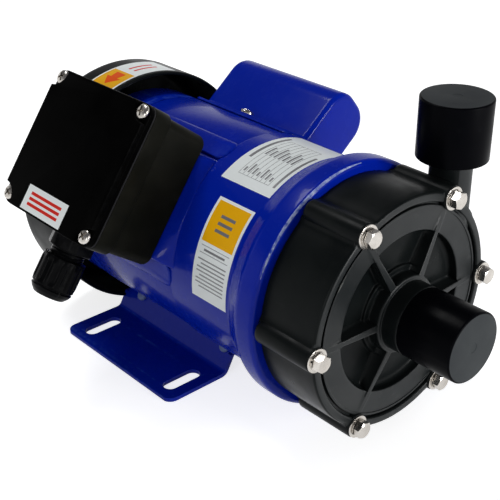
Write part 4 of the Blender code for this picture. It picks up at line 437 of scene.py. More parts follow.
class Survey:
    """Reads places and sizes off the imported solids, in the shaft frame."""

    def __init__(self, nodes: dict[str, bpy.types.Object]) -> None:
        """Find the shaft line and the boss faces.

        Args:
            nodes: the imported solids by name.
        """
        self.nodes = nodes
        cap_low, cap_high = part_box("suction_cap")
        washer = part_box("casing_washer_1")[1]
        washer_gap = 0.3 * MM
        across, height = 0.5 * (cap_low.x + cap_high.x), 0.5 * (cap_low.z + cap_high.z)
        self.origin = np.array([across, washer.y + washer_gap, height])

    def points(self, node: str) -> Array:
        """A solid's vertices, of shape (n, 3)."""
        mesh = self.nodes[node].data
        flat = np.empty(3 * len(mesh.vertices), np.float32)
        mesh.vertices.foreach_get("co", flat)
        return flat.reshape(-1, 3).astype(float) - self.origin

    def span(self, node: str, direction: Array) -> Pair:
        """Lowest and highest reach of a solid along a direction from the shaft frame's origin."""
        reach = self.points(node) @ np.asarray(direction, float)
        return float(reach.min()), float(reach.max())

    def stations(self, node: str) -> Pair:
        """First and last station of a solid along the shaft."""
        return self.span(node, ALONG)

    def heights(self, node: str) -> Pair:
        """Lowest and highest level of a solid."""
        return self.span(node, UPWARD)

    def middle(self, node: str) -> Array:
        """Centre of a solid's box."""
        points = self.points(node)
        return 0.5 * (points.min(axis=0) + points.max(axis=0))

    def radius(self, node: str, axes: Axes) -> float:
        """Greatest distance of a solid's vertices from a frame's out axis."""
        off = self.points(node) - axes.origin
        return float(np.linalg.norm(np.cross(off, axes.out), axis=1).max())


SHAFT = Axes.along(np.zeros(3), ALONG, ACROSS)


def radial_axes(angle: float) -> Axes:
    """Frame whose out points away from the shaft at this angle from +X, with up along the shaft."""
    out = np.array([math.cos(angle), 0.0, math.sin(angle)])
    across = np.array([math.sin(angle), 0.0, -math.cos(angle)])
    return Axes(np.zeros(3), across, ALONG, out)


# Finishes


class Tree:
    """Short-hand for adding nodes to a shader tree."""

    def __init__(self, tree: bpy.types.NodeTree) -> None:
        """Wrap a node tree."""
        self.tree = tree

    def add(
        self, kind: str, inputs: dict[int | str, object] | None = None, **settings: object
    ) -> bpy.types.Node:
        """Add a node, set its properties, and set or link its inputs.

        Args:
            kind: the node's type.
            inputs: values or sockets by input name or number.
            settings: properties of the node.

        Returns:
            The new node.
        """
        node = self.tree.nodes.new(kind)
        for name, value in settings.items():
            setattr(node, name, value)
        self.set(node, inputs or {})
        return node

    def set(self, node: bpy.types.Node, inputs: dict[int | str, object]) -> None:
        """Link the inputs that are given as sockets and set the others."""
        for key, value in inputs.items():
            if isinstance(value, bpy.types.NodeSocket):
                self.tree.links.new(value, node.inputs[key])
            else:
                node.inputs[key].default_value = value

    def math(self, operation: str, a: object, b: object = 0.0, clamp: bool = False) -> bpy.types.NodeSocket:
        """One Math node's result."""
        return self.add("ShaderNodeMath", {0: a, 1: b}, operation=operation, use_clamp=clamp).outputs[0]

    def blend(self, factor: object, a: object, b: object) -> bpy.types.NodeSocket:
        """Colour a where the factor is nought and colour b where it is one."""
        mix = self.add("ShaderNodeMix", {0: factor, 6: a, 7: b}, data_type="RGBA")
        return mix.outputs[2]

    def ramp(
        self, value: object, low: float, high: float, to_low: float = 0.0, to_high: float = 1.0
    ) -> bpy.types.NodeSocket:
        """Map a value from one range to another, clamped."""
        inputs = {"Value": value, "From Min": low, "From Max": high, "To Min": to_low, "To Max": to_high}
        return self.add("ShaderNodeMapRange", inputs).outputs["Result"]

    def noise(self, vector: object, scale: object, detail: float) -> bpy.types.NodeSocket:
        """One Noise Texture's value."""
        inputs = {"Vector": vector, "Scale": scale, "Detail": detail}
        return self.add("ShaderNodeTexNoise", inputs).outputs["Fac"]

    def seen(self) -> bpy.types.NodeSocket:
        """One for the camera's own rays and for those in reflections and through glass, else nought."""
        path = self.add("ShaderNodeLightPath").outputs
        seen = self.math("MAXIMUM", path["Is Camera Ray"], path["Is Glossy Ray"])
        return self.math("MAXIMUM", seen, path["Is Transmission Ray"])


class Effect:
    """A shader node group with named inputs and outputs, built once and placed in each material."""

    def __init__(self, name: str, inputs: dict[str, object], outputs: dict[str, str]) -> None:
        """Make the group's interface.

        Args:
            name: the group's name.
            inputs: default value of each input; None stands for a vector.
            outputs: socket type of each output.
        """
        self.group = bpy.data.node_groups.new(name, "ShaderNodeTree")
        kinds = {float: "NodeSocketFloat", tuple: "NodeSocketColor", type(None): "NodeSocketVector"}
        for key, value in inputs.items():
            socket = self.group.interface.new_socket(key, in_out="INPUT", socket_type=kinds[type(value)])
            if value is not None:
                socket.default_value = value
        for key, kind in outputs.items():
            self.group.interface.new_socket(key, in_out="OUTPUT", socket_type=kind)
        self.tree = Tree(self.group)
        self.given = self.group.nodes.new("NodeGroupInput").outputs
        self.result = self.group.nodes.new("NodeGroupOutput").inputs

    def give(self, **sockets: bpy.types.NodeSocket) -> Effect:
        """Link the group's outputs and return the group."""
        for key, socket in sockets.items():
            self.group.links.new(socket, self.result[key])
        return self


def mottle_effect() -> Effect:
    """Cloudy change from one colour towards another."""
    effect = Effect(
        "mottle",
        {"Vector": None, "Colour": GREY, "Tint": GREY, "Scale": 40.0, "Amount": 0.5},
        {"Colour": "NodeSocketColor"},
    )
    tree, given = effect.tree, effect.given
    cloud = tree.ramp(tree.noise(given["Vector"], given["Scale"], 4.0), 0.35, 0.68)
    mixed = tree.blend(tree.math("MULTIPLY", cloud, given["Amount"]), given["Colour"], given["Tint"])
    return effect.give(Colour=mixed)


def wear_and_highlight_effect() -> Effect:
    """Rubbed edges, and on some finishes a painted edge highlight: a lighter colour in a mask where the
    surface turns sharply, broken up by noise.
    """
    effect = Effect(
        "edge_wear_and_highlight",
        {"Vector": None, "Colour": GREY, "BareAndHighlight": (0.6, 0.6, 0.6, 1.0), "Amount": 0.3},
        {"Colour": "NodeSocketColor", "Mask": "NodeSocketFloat"},
    )
    tree, given = effect.tree, effect.given
    sharp = tree.ramp(tree.add("ShaderNodeNewGeometry").outputs["Pointiness"], 0.53, 0.62)
    broken = tree.math("MULTIPLY", sharp, tree.ramp(tree.noise(given["Vector"], 260.0, 5.0), 0.42, 0.6))
    mask = tree.math("MULTIPLY", broken, given["Amount"], clamp=True)
    return effect.give(Colour=tree.blend(mask, given["Colour"], given["BareAndHighlight"]), Mask=mask)


def dust_effect() -> Effect:
    """Fine dust on what faces up, thinner where the noise is low."""
    effect = Effect(
        "dust",
        {"Vector": None, "Colour": GREY, "Dust": (0.5, 0.48, 0.44, 1.0), "Amount": 0.1},
        {"Colour": "NodeSocketColor", "Mask": "NodeSocketFloat"},
    )
    tree, given = effect.tree, effect.given
    normal = tree.add("ShaderNodeNewGeometry").outputs["Normal"]
    upward = tree.ramp(tree.add("ShaderNodeSeparateXYZ", {0: normal}).outputs["Z"], 0.1, 1.0)
    spread = tree.ramp(tree.noise(given["Vector"], 110.0, 6.0), 0.4, 0.75, 0.3, 1.0)
    settled = tree.math("MULTIPLY", upward, spread)
    mask = tree.math("MULTIPLY", settled, given["Amount"], clamp=True)
    return effect.give(Colour=tree.blend(mask, given["Colour"], given["Dust"]), Mask=mask)


def grain_effect() -> Effect:
    """Fine surface grain over a slow swell, for bump and roughness."""
    effect = Effect(
        "grain",
        {"Vector": None, "Scale": 900.0, "Swell": 60.0, "Share": 0.5},
        {"Height": "NodeSocketFloat", "Value": "NodeSocketFloat"},
    )
    tree, given = effect.tree, effect.given
    fine = tree.noise(given["Vector"], given["Scale"], 3.0)
    slow = tree.noise(given["Vector"], given["Swell"], 2.0)
    height = tree.add("ShaderNodeMix", {0: given["Share"], 2: fine, 3: slow})
    return effect.give(Height=height.outputs[0], Value=slow)


def scuff_effect() -> Effect:
    """Short rubbed streaks: stretched noise kept only near its crests."""
    effect = Effect("scuffs", {"Vector": None, "Scale": 160.0, "Amount": 0.3}, {"Mask": "NodeSocketFloat"})
    tree, given = effect.tree, effect.given
    slant = {"Vector": given["Vector"], "Rotation": (0.5, 0.3, 0.9), "Scale": (1.0, 0.09, 1.0)}
    stretched = tree.add("ShaderNodeMapping", slant).outputs[0]
    streaks = tree.ramp(tree.noise(stretched, given["Scale"], 5.0), 0.62, 0.74)
    patches = tree.ramp(tree.noise(given["Vector"], 30.0, 2.0), 0.5, 0.65)
    crest = tree.math("MULTIPLY", streaks, patches)
    return effect.give(Mask=tree.math("MULTIPLY", crest, given["Amount"], clamp=True))


@dataclass(frozen=True)
class Effects:
    """The node groups that the materials share."""

    mottle: Effect
    wear_and_highlight: Effect
    dust: Effect
    grain: Effect
    scuffs: Effect

    @staticmethod
    def build() -> Effects:
        """Make every group once."""
        return Effects(mottle_effect(), wear_and_highlight_effect(), dust_effect(), grain_effect(), scuff_effect())


@dataclass(frozen=True)
class Finish:
    """One surface finish, from its colour to its grain, edge wear with painted edge highlights, and dust."""

    name: str
    colour: Colour
    tint: Colour
    roughness: float
    metallic: float = 0.0
    mottle: float = 0.6
    mottle_scale: float = 45.0
    rough_swing: float = 0.08
    grain_scale: float = 900.0
    swell_scale: float = 60.0
    swell_share: float = 0.3
    bump: float = 0.15
    bump_depth: float = 0.2 * MM
    # Colour and amount on sharp edges: rubbed edges, and on some finishes, the blue enamel among them, a
    # painted edge highlight.
    bare_and_highlight: Colour = (0.5, 0.5, 0.5)
    wear_and_highlight: float = 0.2
    dust: float = 0.05
    scuffs: float = 0.15
    scuff_colour: Colour = (0.35, 0.35, 0.35)
    coat: float = 0.0
    coat_roughness: float = 0.05
    specular: float = 0.5
    stretch: tuple[float, float, float] = (1.0, 1.0, 1.0)

    def build(self, effects: Effects) -> bpy.types.Material:
        """Make the material.

        Args:
            effects: the shared node groups.

        Returns:
            The finished material.
        """
        material = bpy.data.materials.new(self.name)
        material.use_nodes = True
        tree = Tree(material.node_tree)
        shader = material.node_tree.nodes["Principled BSDF"]
        place = tree.add("ShaderNodeTexCoord").outputs["Object"]
        vector = tree.add("ShaderNodeMapping", {"Vector": place, "Scale": self.stretch}).outputs[0]

        def group(effect: Effect, inputs: dict[str, object]) -> bpy.types.NodeOutputs:
            """Place a shared group and hand out its outputs."""
            return tree.add("ShaderNodeGroup", inputs, node_tree=effect.group).outputs

        mottle = group(effects.mottle, {
            "Vector": place, "Colour": (*self.colour, 1.0), "Tint": (*self.tint, 1.0),
            "Scale": self.mottle_scale, "Amount": self.mottle,
        })
        wear_and_highlight = group(effects.wear_and_highlight, {
            "Vector": place, "Colour": mottle["Colour"], "BareAndHighlight": (*self.bare_and_highlight, 1.0), "Amount": self.wear_and_highlight,
        })
        scuffs = group(effects.scuffs, {"Vector": place, "Amount": self.scuffs})
        rubbed = tree.blend(scuffs["Mask"], wear_and_highlight["Colour"], (*self.scuff_colour, 1.0))
        dust = group(effects.dust, {"Vector": place, "Colour": rubbed, "Amount": self.dust})
        grain = group(effects.grain, {
            "Vector": vector, "Scale": self.grain_scale, "Swell": self.swell_scale, "Share": self.swell_share,
        })
        low, high = self.roughness - self.rough_swing, self.roughness + self.rough_swing
        swing = tree.ramp(grain["Value"], 0.3, 0.7, low, high)
        relief = {"Height": grain["Height"], "Strength": self.bump, "Distance": self.bump_depth}
        tree.set(shader, {
            "Base Color": dust["Colour"],
            "Roughness": tree.math("ADD", swing, tree.math("MULTIPLY", dust["Mask"], 0.6), clamp=True),
            "Normal": tree.add("ShaderNodeBump", relief).outputs["Normal"],
            "Metallic": self.metallic,
            "Coat Weight": self.coat,
            "Coat Roughness": self.coat_roughness,
            "Specular IOR Level": self.specular,
        })
        material.diffuse_color = (*self.colour, 1.0)
        return material


VINYL = {
    "rough_swing": 0.05, "bump": 0.03, "wear_and_highlight": 0.0, "dust": 0.01, "scuffs": 0.04, "coat": 0.04,
    "coat_roughness": 0.1, "specular": 0.1,
}
INK = {"bump": 0.02, "wear_and_highlight": 0.0, "dust": 0.0, "scuffs": 0.0}

FINISHES: dict[str, Finish] = {
    finish.name: finish
    for finish in (
        Finish("moulded_black", (0.0035, 0.0048, 0.0052), (0.009, 0.0108, 0.0106), 0.36, rough_swing=0.10,
               bump=0.10, wear_and_highlight=0.8, bare_and_highlight=(0.09, 0.095, 0.09), dust=0.004, scuffs=0.35,
               scuff_colour=(0.05, 0.05, 0.05), specular=0.06),
        # A lighter copy of the moulded black for the casing's forward faces: painted light from the front
        # lamp.
        Finish("moulded_lit_face", (0.007, 0.009, 0.010), (0.014, 0.016, 0.016), 0.46, rough_swing=0.10,
               bump=0.12, wear_and_highlight=0.7, bare_and_highlight=(0.10, 0.105, 0.10), dust=0.004, scuffs=0.3,
               scuff_colour=(0.06, 0.06, 0.06), specular=0.22),
        Finish("port_rubber", (0.0008, 0.0010, 0.0018), (0.002, 0.002, 0.003), 0.34, rough_swing=0.10,
               bump=0.10, swell_share=0.6, wear_and_highlight=0.05, bare_and_highlight=(0.03, 0.03, 0.03), dust=0.002, scuffs=0.3,
               scuff_colour=(0.03, 0.03, 0.035), specular=0.02),
        # A lighter grey for the caps' end faces: painted light where the lamps fall on the ends.
        Finish("port_rubber_lit_end", (0.036, 0.040, 0.043), (0.050, 0.055, 0.057), 0.62, bump=0.12, wear_and_highlight=0.05,
               bare_and_highlight=(0.08, 0.08, 0.08), dust=0.01, scuffs=0.3, scuff_colour=(0.08, 0.08, 0.08),
               specular=0.06),
        Finish("seal_black", (0.006, 0.006, 0.007), (0.010, 0.010, 0.010), 0.70, wear_and_highlight=0.1,
               bare_and_highlight=(0.04, 0.04, 0.04), specular=0.15),
        # The enamel's lighter blue on sharp edges is partly rubbed paint and partly a painted edge highlight.
        Finish("blue_gloss", (0.0004, 0.013, 0.330), (0.001, 0.026, 0.430), 0.26, mottle=0.35,
               mottle_scale=14.0, rough_swing=0.04, grain_scale=420.0, swell_scale=150.0, swell_share=0.75,
               bump=0.05, wear_and_highlight=0.35, bare_and_highlight=(0.06, 0.14, 0.56), dust=0.001, scuffs=0.05,
               scuff_colour=(0.01, 0.03, 0.34), coat=0.13, coat_roughness=0.06, specular=0.04),
        Finish("screw_blue", (0.16, 0.21, 0.38), (0.19, 0.24, 0.42), 0.5, dust=0.0, specular=0.10),
        # A light blue for the lip's film: partly rubbed paint, partly a painted highlight.
        Finish("rubbed_blue", (0.40, 0.46, 0.66), (0.01, 0.045, 0.38), 0.42, mottle=1.0, mottle_scale=420.0,
               wear_and_highlight=0.3, bare_and_highlight=(0.4, 0.45, 0.6), dust=0.0, scuffs=0.3, scuff_colour=(0.3, 0.35, 0.5),
               specular=0.10),
        Finish("bright_steel", (0.57, 0.54, 0.50), (0.42, 0.39, 0.35), 0.26, 1.0, mottle_scale=180.0,
               grain_scale=1500.0, bump=0.12, bare_and_highlight=(0.85, 0.84, 0.82), wear_and_highlight=0.4, scuffs=0.3,
               scuff_colour=(0.32, 0.30, 0.28)),
        Finish("turned_steel", (0.50, 0.50, 0.51), (0.40, 0.40, 0.41), 0.30, 1.0, stretch=(1.0, 14.0, 1.0),
               bump=0.2),
        Finish("stamped_iron", (0.20, 0.19, 0.18), (0.12, 0.11, 0.10), 0.50, 1.0, stretch=(1.0, 30.0, 1.0),
               bump=0.4),
        Finish("varnished_copper", (0.62, 0.22, 0.08), (0.40, 0.12, 0.04), 0.32, 1.0,
               stretch=(6.0, 1.0, 6.0), bump=0.5),
        Finish("white_ceramic", (0.80, 0.78, 0.73), (0.72, 0.70, 0.65), 0.22, bump=0.04, scuffs=0.05),
        Finish("pressed_carbon", (0.05, 0.05, 0.055), (0.08, 0.08, 0.085), 0.40, bump=0.2),
        Finish("sintered_magnet", (0.10, 0.10, 0.11), (0.14, 0.13, 0.12), 0.45, 0.6, bump=0.3),
        Finish("box_black", (0.005, 0.0052, 0.0035), (0.013, 0.0125, 0.009), 0.42, mottle_scale=70.0,
               rough_swing=0.12, grain_scale=1100.0, bump=0.12, wear_and_highlight=0.35, bare_and_highlight=(0.05, 0.05, 0.045),
               dust=0.004, scuffs=0.4, scuff_colour=(0.03, 0.03, 0.025), specular=0.03),
        Finish("gland_black", (0.0012, 0.0014, 0.0018), (0.004, 0.004, 0.0045), 0.24, mottle_scale=70.0,
               bump=0.08, wear_and_highlight=0.3, bare_and_highlight=(0.05, 0.05, 0.05), dust=0.001, scuffs=0.3,
               scuff_colour=(0.03, 0.03, 0.03), specular=0.04),
        Finish("lid_black", (0.0009, 0.0009, 0.0009), (0.0018, 0.0018, 0.0018), 0.34, mottle_scale=70.0,
               rough_swing=0.12, grain_scale=1100.0, bump=0.08, wear_and_highlight=0.2, bare_and_highlight=(0.05, 0.05, 0.05),
               dust=0.001, scuffs=0.3, scuff_colour=(0.012, 0.012, 0.012), specular=0.007),
        Finish("drawn_can", (0.62, 0.63, 0.64), (0.52, 0.53, 0.54), 0.30, 1.0, stretch=(1.0, 1.0, 8.0),
               bump=0.15),
        Finish("phenolic_tan", (0.40, 0.37, 0.30), (0.30, 0.27, 0.21), 0.50, bump=0.2),
        Finish("white_vinyl", (0.90, 0.94, 0.93), (0.84, 0.88, 0.87), 0.35, scuff_colour=(0.6, 0.6, 0.6),
               **VINYL),
        Finish("yellow_vinyl", (0.92, 0.46, 0.002), (0.86, 0.42, 0.002), 0.35, scuff_colour=(0.6, 0.4, 0.1),
               **VINYL),
        Finish("grey_ink", (0.16, 0.16, 0.17), (0.24, 0.24, 0.25), 0.45, **INK),
        Finish("red_ink", (0.72, 0.02, 0.01), (0.62, 0.02, 0.01), 0.40, specular=0.1, **INK),
        Finish("orange_ink", (0.90, 0.10, 0.004), (0.80, 0.09, 0.004), 0.40, specular=0.1, **INK),
    )
}


PIECE_CREASE = 35.0


def smooth(mesh: bpy.types.Mesh, crease: float) -> None:
    """Shade a mesh smooth, but for its edges sharper than this many degrees."""
    mesh.shade_smooth()
    mesh.set_sharp_from_angle(angle=math.radians(crease))


class Workshop:
    """Turns shells into pieces, and hands out the materials."""

    def __init__(self, survey: Survey) -> None:
        """Build every material.

        Args:
            survey: where the solids are.
        """
        self.survey = survey
        effects = Effects.build()
        self.materials = {name: finish.build(effects) for name, finish in FINISHES.items()}

    def mesh(self, name: str, shells: list[Shell], paints: NDArray[np.int64]) -> bpy.types.Mesh:
        """Put shells into one mesh: poles are merged, and each island's faces are turned outwards.

        Args:
            name: the mesh's name.
            shells: its closed surfaces.
            paints: the material number of each shell.

        Returns:
            The mesh, in the row's frame.
        """
        starts = np.cumsum([0] + [len(shell.points) for shell in shells[:-1]])
        points = np.concatenate([shell.points for shell in shells]) + self.survey.origin
        corners = np.concatenate([shell.corners + start for shell, start in zip(shells, starts)])
        sizes = np.concatenate([shell.sizes for shell in shells])
        mesh = bpy.data.meshes.new(name)
        mesh.vertices.add(len(points))
        mesh.vertices.foreach_set("co", points.astype(np.float32).ravel())
        mesh.loops.add(len(corners))
        mesh.loops.foreach_set("vertex_index", corners.astype(np.int32))
        mesh.polygons.add(len(sizes))
        mesh.polygons.foreach_set("loop_start", (np.cumsum(sizes) - sizes).astype(np.int32))
        paint = np.concatenate([np.full(len(shell.sizes), number) for shell, number in zip(shells, paints)])
        mesh.polygons.foreach_set("material_index", paint.astype(np.int32))
        mesh.update(calc_edges=True)
        mesh.validate()
        work = bmesh.new()
        work.from_mesh(mesh)
        bmesh.ops.remove_doubles(work, verts=work.verts, dist=0.0002 * MM)
        bmesh.ops.dissolve_degenerate(work, edges=work.edges, dist=0.0001 * MM)
        bmesh.ops.recalc_face_normals(work, faces=work.faces)
        work.to_mesh(mesh)
        work.free()
        return mesh

    def piece(
        self,
        name: str,
        shells: list[Shell],
        finish: str | list[str],
        nodes: tuple[str, ...],
        slot: Slot | None,
        body: Body = Body.PUMP,
        crease: float = PIECE_CREASE,
    ) -> bpy.types.Object:
        """Make one finished piece.

        Args:
            name: the piece's name.
            shells: its closed surfaces.
            finish: one finish, or one for each shell.
            nodes: the solids that it stands for.
            slot: the record's slot that its finish comes from; not used.
            body: what it rides on.
            crease: edges sharper than this many degrees stay sharp.

        Returns:
            The piece.
        """
        wanted = [finish] * len(shells) if isinstance(finish, str) else finish
        names = list(dict.fromkeys(wanted))
        mesh = self.mesh(name, shells, np.array([names.index(item) for item in wanted]))
        for item in names:
            mesh.materials.append(self.materials[item])
        smooth(mesh, crease)
        piece = bpy.data.objects.new(name, mesh)
        bpy.context.scene.collection.objects.link(piece)
        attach(piece, body.value)
        if nodes:
            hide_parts(*nodes)
        LOG.info("%s: %d faces, stands for %s", name, len(mesh.polygons), ", ".join(nodes) or "no solid")
        return piece

    def cut(self, piece: bpy.types.Object, cutters: list[Shell]) -> None:
        """Cut closed shells out of a piece with an exact Boolean, applied to its mesh.

        Args:
            piece: the piece to cut.
            cutters: what is taken away.
        """
        tool = bpy.data.objects.new("tool", self.mesh("tool", cutters, np.zeros(len(cutters), int)))
        bpy.context.scene.collection.objects.link(tool)
        modifier = piece.modifiers.new("cut", "BOOLEAN")
        modifier.operation, modifier.solver, modifier.object = "DIFFERENCE", "EXACT", tool
        bpy.context.view_layer.update()
        solid = bpy.data.meshes.new_from_object(piece.evaluated_get(bpy.context.evaluated_depsgraph_get()))
        piece.modifiers.clear()
        piece.data = solid
        bpy.data.objects.remove(tool, do_unlink=True)
        smooth(solid, PIECE_CREASE)

    def bevel(self, piece: bpy.types.Object, width: float) -> None:
        """Round a piece's sharp edges with a Bevel modifier."""
        modifier = piece.modifiers.new("edges", "BEVEL")
        modifier.width, modifier.segments = width, 2
        modifier.limit_method, modifier.angle_limit = "ANGLE", math.radians(40.0)
        modifier.harden_normals = False

    def paint_lit_front_faces(self, piece: bpy.types.Object, finish: str, behind: float) -> None:
        """Give a second, lighter finish to a piece's faces that look forwards and lie ahead of a station:
        painted light where the front lamp falls.

        Args:
            piece: the piece.
            finish: the second finish, a lighter painted-light copy.
            behind: the station where it stops.
        """
        mesh = piece.data
        forwards = -0.75
        normal, centre = np.empty((2, 3 * len(mesh.polygons)), np.float32)
        mesh.polygons.foreach_get("normal", normal)
        mesh.polygons.foreach_get("center", centre)
        number = np.zeros(len(mesh.polygons), np.int32)
        mesh.polygons.foreach_get("material_index", number)
        station = centre.reshape(-1, 3)[:, 1] - self.survey.origin[1]
        number[(normal.reshape(-1, 3)[:, 1] < forwards) & (station < behind)] = len(mesh.materials)
        mesh.materials.append(self.materials[finish])
        mesh.polygons.foreach_set("material_index", number)

    def label(self, name: str, sheet: Sheet, marks: dict[str, list[Shell]]) -> None:
        """Make a white label with its printed marks, which are listed by their ink."""
        inks = [ink for ink, films in marks.items() for _ in films]
        films = [film for group in marks.values() for film in group]
        self.piece(name, [sheet.base(), *films], ["white_vinyl", *inks], (), None)

    def pan_screw(
        self,
        node: str,
        name: str,
        axes: Axes,
        head: float,
        turn: float,
        proud: float = 0.0,
        tip: float | None = 0.0,
    ) -> None:
        """Make the pan head screw that stands for a solid.

        Args:
            node: the solid.
            name: the piece's name.
            axes: a frame through the shaft line, with out along the screw.
            head: radius of the head.
            turn: how far round its axis the recess stands.
            proud: how far the head stands over the solid's.
            tip: length of the shank's point; None leaves the shank out.
        """
        rise = 2.2 * MM
        middle = self.survey.middle(node)
        low, high = self.survey.span(node, axes.out)
        seat = axes.moved(float(middle @ axes.across), middle[1], high - rise + proud)
        shells = [pan_screw(seat, head, rise, turn)]
        if tip is not None:
            shells.append(shank(seat, 1.8 * MM, low - high + rise, tip))
        self.piece(name, shells, "bright_steel", (node,), Slot.PLATED)

    def paint(self, node: str, finish: str) -> None:
        """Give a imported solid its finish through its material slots."""
        for slot in self.survey.nodes[node].material_slots:
            slot.material = self.materials[finish]
        LOG.info("%s keeps its solid, in %s", node, finish)


# The pump head


@dataclass
class PumpHead:
    """Front casing with its six ribs and bosses, two ports, transport caps, bolts and washers."""

    shop: Workshop
    boss_count: int = 6
    boss_radius: float = 6.3 * MM
    boss_fillet: float = 1.4 * MM
    boss_foot: float = 5.8 * MM
    boss_reach: float = 3.2 * MM
    bolt_circle: float = 60.0 * MM
    casing_radius: float = 61.0 * MM
    casing_depth: float = 36.0 * MM
    rim_width: float = 4.6 * MM
    rim_face: float = 0.5 * MM
    groove_width: float = 1.5 * MM
    groove_floor: float = 3.4 * MM
    ridge_width: float = 1.3 * MM
    ridge_rise: float = 0.5 * MM
    annulus_width: float = 12.9 * MM
    annulus_face: float = 1.8 * MM
    pocket_floor: float = 7.0 * MM
    hub_radius: float = 23.5 * MM
    hub_face: float = 5.2 * MM
    collar_radius: float = 20.3 * MM
    collar_face: float = -1.2 * MM
    neck_radius: float = 18.0 * MM
    neck_face: float = -10.2 * MM
    port_radius: float = 16.6 * MM
    port_length: float = 28.7 * MM
    port_lead: float = 1.2 * MM
    suction_bore: float = 12.0 * MM
    chamber_front: float = 10.6 * MM
    chamber_radius: float = 50.0 * MM
    socket_radius: float = 55.5 * MM
    socket_floor: float = 30.2 * MM
    rib_root: float = 4.0 * MM
    rib_tip: float = 1.8 * MM
    rib_fillet: float = 1.4 * MM
    rib_sink: float = 0.2 * MM
    thread_pitch: float = 1.814 * MM
    thread_depth: float = 1.1 * MM
    branch_radius: float = 10.7 * MM
    branch_bore: float = 7.5 * MM
    branch_fillet: float = 4.0 * MM
    branch_ground: float = 18.0 * MM
    branch_start: float = 20.0 * MM
    spider_radius: float = 6.5 * MM
    spider_length: float = 8.0 * MM
    cap_wall: float = 1.1 * MM
    cap_end: float = 2.0 * MM
    cap_edge: float = 0.9 * MM
    lit_end_film: float = 0.02 * MM
    gate_radius: float = 2.6 * MM
    bolt_flats: float = 8.0 * MM
    bolt_height: float = 3.6 * MM
    bolt_radius: float = 2.5 * MM
    bolt_point: float = 0.6 * MM
    washer_bore: float = 2.7 * MM
    washer_flat: float = 0.6 * MM
    spring_washer: float = 4.7 * MM

    @property
    def port_mouth(self) -> float:
        """Station of the suction port's mouth."""
        return self.neck_face - self.port_length

    @property
    def groove_inner(self) -> float:
        """Inner radius of the groove in the casing's face."""
        return self.casing_radius - self.rim_width - self.groove_width

    def rib_half(self, radius: Array) -> Array:
        """Half the rib's width, which narrows evenly from the neck to the groove."""
        return 0.5 * np.interp(radius, [self.neck_radius, self.groove_inner], [self.rib_root, self.rib_tip])

    def columns(self, radius: Array) -> tuple[Array, Array]:
        """Lay the grid's columns close together on the ribs' flanks and on the bosses' roots.

        Near a rib the columns keep a fixed distance from its middle line, so their angle is distance over
        radius. Past it, fixed shares of what is left reach to the middle between two ribs.

        Args:
            radius: radius of each row, of shape (rows,).

        Returns:
            The angle of each point, and its angle from the nearest rib, each of shape (rows, columns).
        """
        on_rib = np.array([0.0, 0.5, 0.8, 1.0, 1.0, 1.0, 1.0, 1.0])
        on_fillet = np.array([0.0, 0.0, 0.0, 0.0, 0.16, 0.5, 1.0, 1.7])
        offsets = [3.9, 4.8, 5.5, 6.0, 6.5, 7.1, 7.9, 9.0, 11.0, 14.0, 17.5, 21.5, 25.5, 29.0]
        round_boss = np.array(offsets) * MM
        near = (self.rib_half(radius)[:, None] * on_rib + self.rib_fillet * on_fillet) / radius[:, None]
        start = 0.5 * self.rib_tip + on_fillet[-1] * self.rib_fillet
        sector = math.tau / self.boss_count
        share = (round_boss - start) / (0.5 * sector * self.casing_radius - start)
        far = near[:, -1:] + share * (0.5 * sector - near[:, -1:])
        middle = np.full((len(radius), 1), 0.5 * sector)
        side = np.hstack([near, far])
        local = np.hstack([-side[:, :0:-1], side, middle])
        angles = np.hstack([local + sector * index for index in range(self.boss_count)])
        return angles, np.tile(np.abs(local), (1, self.boss_count))

    def thread(self, angle: Array, along: Array, low: float, high: float) -> Array:
        """Cut a right-hand thread, which fades out within a pitch of both of its ends.

        Args:
            angle: angle of each point.
            along: place of each point along the thread.
            low: where the thread starts.
            high: where it ends.

        Returns:
            How deep the surface lies there: the depth times |sin(pi (along / pitch - angle / full turn))|.
        """
        pitch = self.thread_pitch
        wave = np.abs(np.sin(math.pi * (along / pitch - angle / math.tau)))
        fade = np.clip((along - low) / pitch, 0, 1) * np.clip((high - along) / pitch, 0, 1)
        return self.thread_depth * wave * fade

    def port_rows(self) -> Array:
        """Profile (radius, station) of the suction port, from its mouth back to its neck."""
        root = self.port_radius - 0.8 * MM
        corners = np.array([
            (self.suction_bore, self.port_mouth),
            (self.port_radius - self.port_lead, self.port_mouth),
            (self.port_radius, self.port_mouth + self.port_lead),
            (self.port_radius, self.neck_face - 2.0 * MM),
            (root, self.neck_face - 1.2 * MM),
            (root, self.neck_face),
            (self.neck_radius - 0.6 * MM, self.neck_face),
        ])
        return dense(corners, 0.25 * self.thread_pitch)

    def face_rows(self) -> Array:
        """Profile (radius, station) of the dished face, from the neck out to the groove."""
        pocket = self.groove_inner - self.annulus_width
        ridge_inner = self.groove_inner - self.ridge_width
        ridge = self.annulus_face - self.ridge_rise
        path = filleted([
            (self.neck_radius - 1.0 * MM, self.neck_face, 0.0),
            (self.neck_radius, self.neck_face, 0.6 * MM),
            (self.neck_radius, self.collar_face, 0.4 * MM),
            (self.collar_radius, self.collar_face, 1.1 * MM),
            (self.collar_radius, self.hub_face, 0.9 * MM),
            (self.hub_radius, self.hub_face, 0.6 * MM),
            (self.hub_radius, self.pocket_floor, 0.7 * MM),
            (pocket, self.pocket_floor, 2.6 * MM),
            (pocket, self.annulus_face, 0.8 * MM),
            (ridge_inner, self.annulus_face, 0.2 * MM),
            (ridge_inner, ridge, 0.24 * MM),
            (self.groove_inner, ridge, 0.3 * MM),
            (self.groove_inner, self.groove_floor, 0.2 * MM),
            (self.groove_inner + 1.0 * MM, self.groove_floor, 0.0),
        ])
        return dense(path[1:-1], 1.3 * MM)

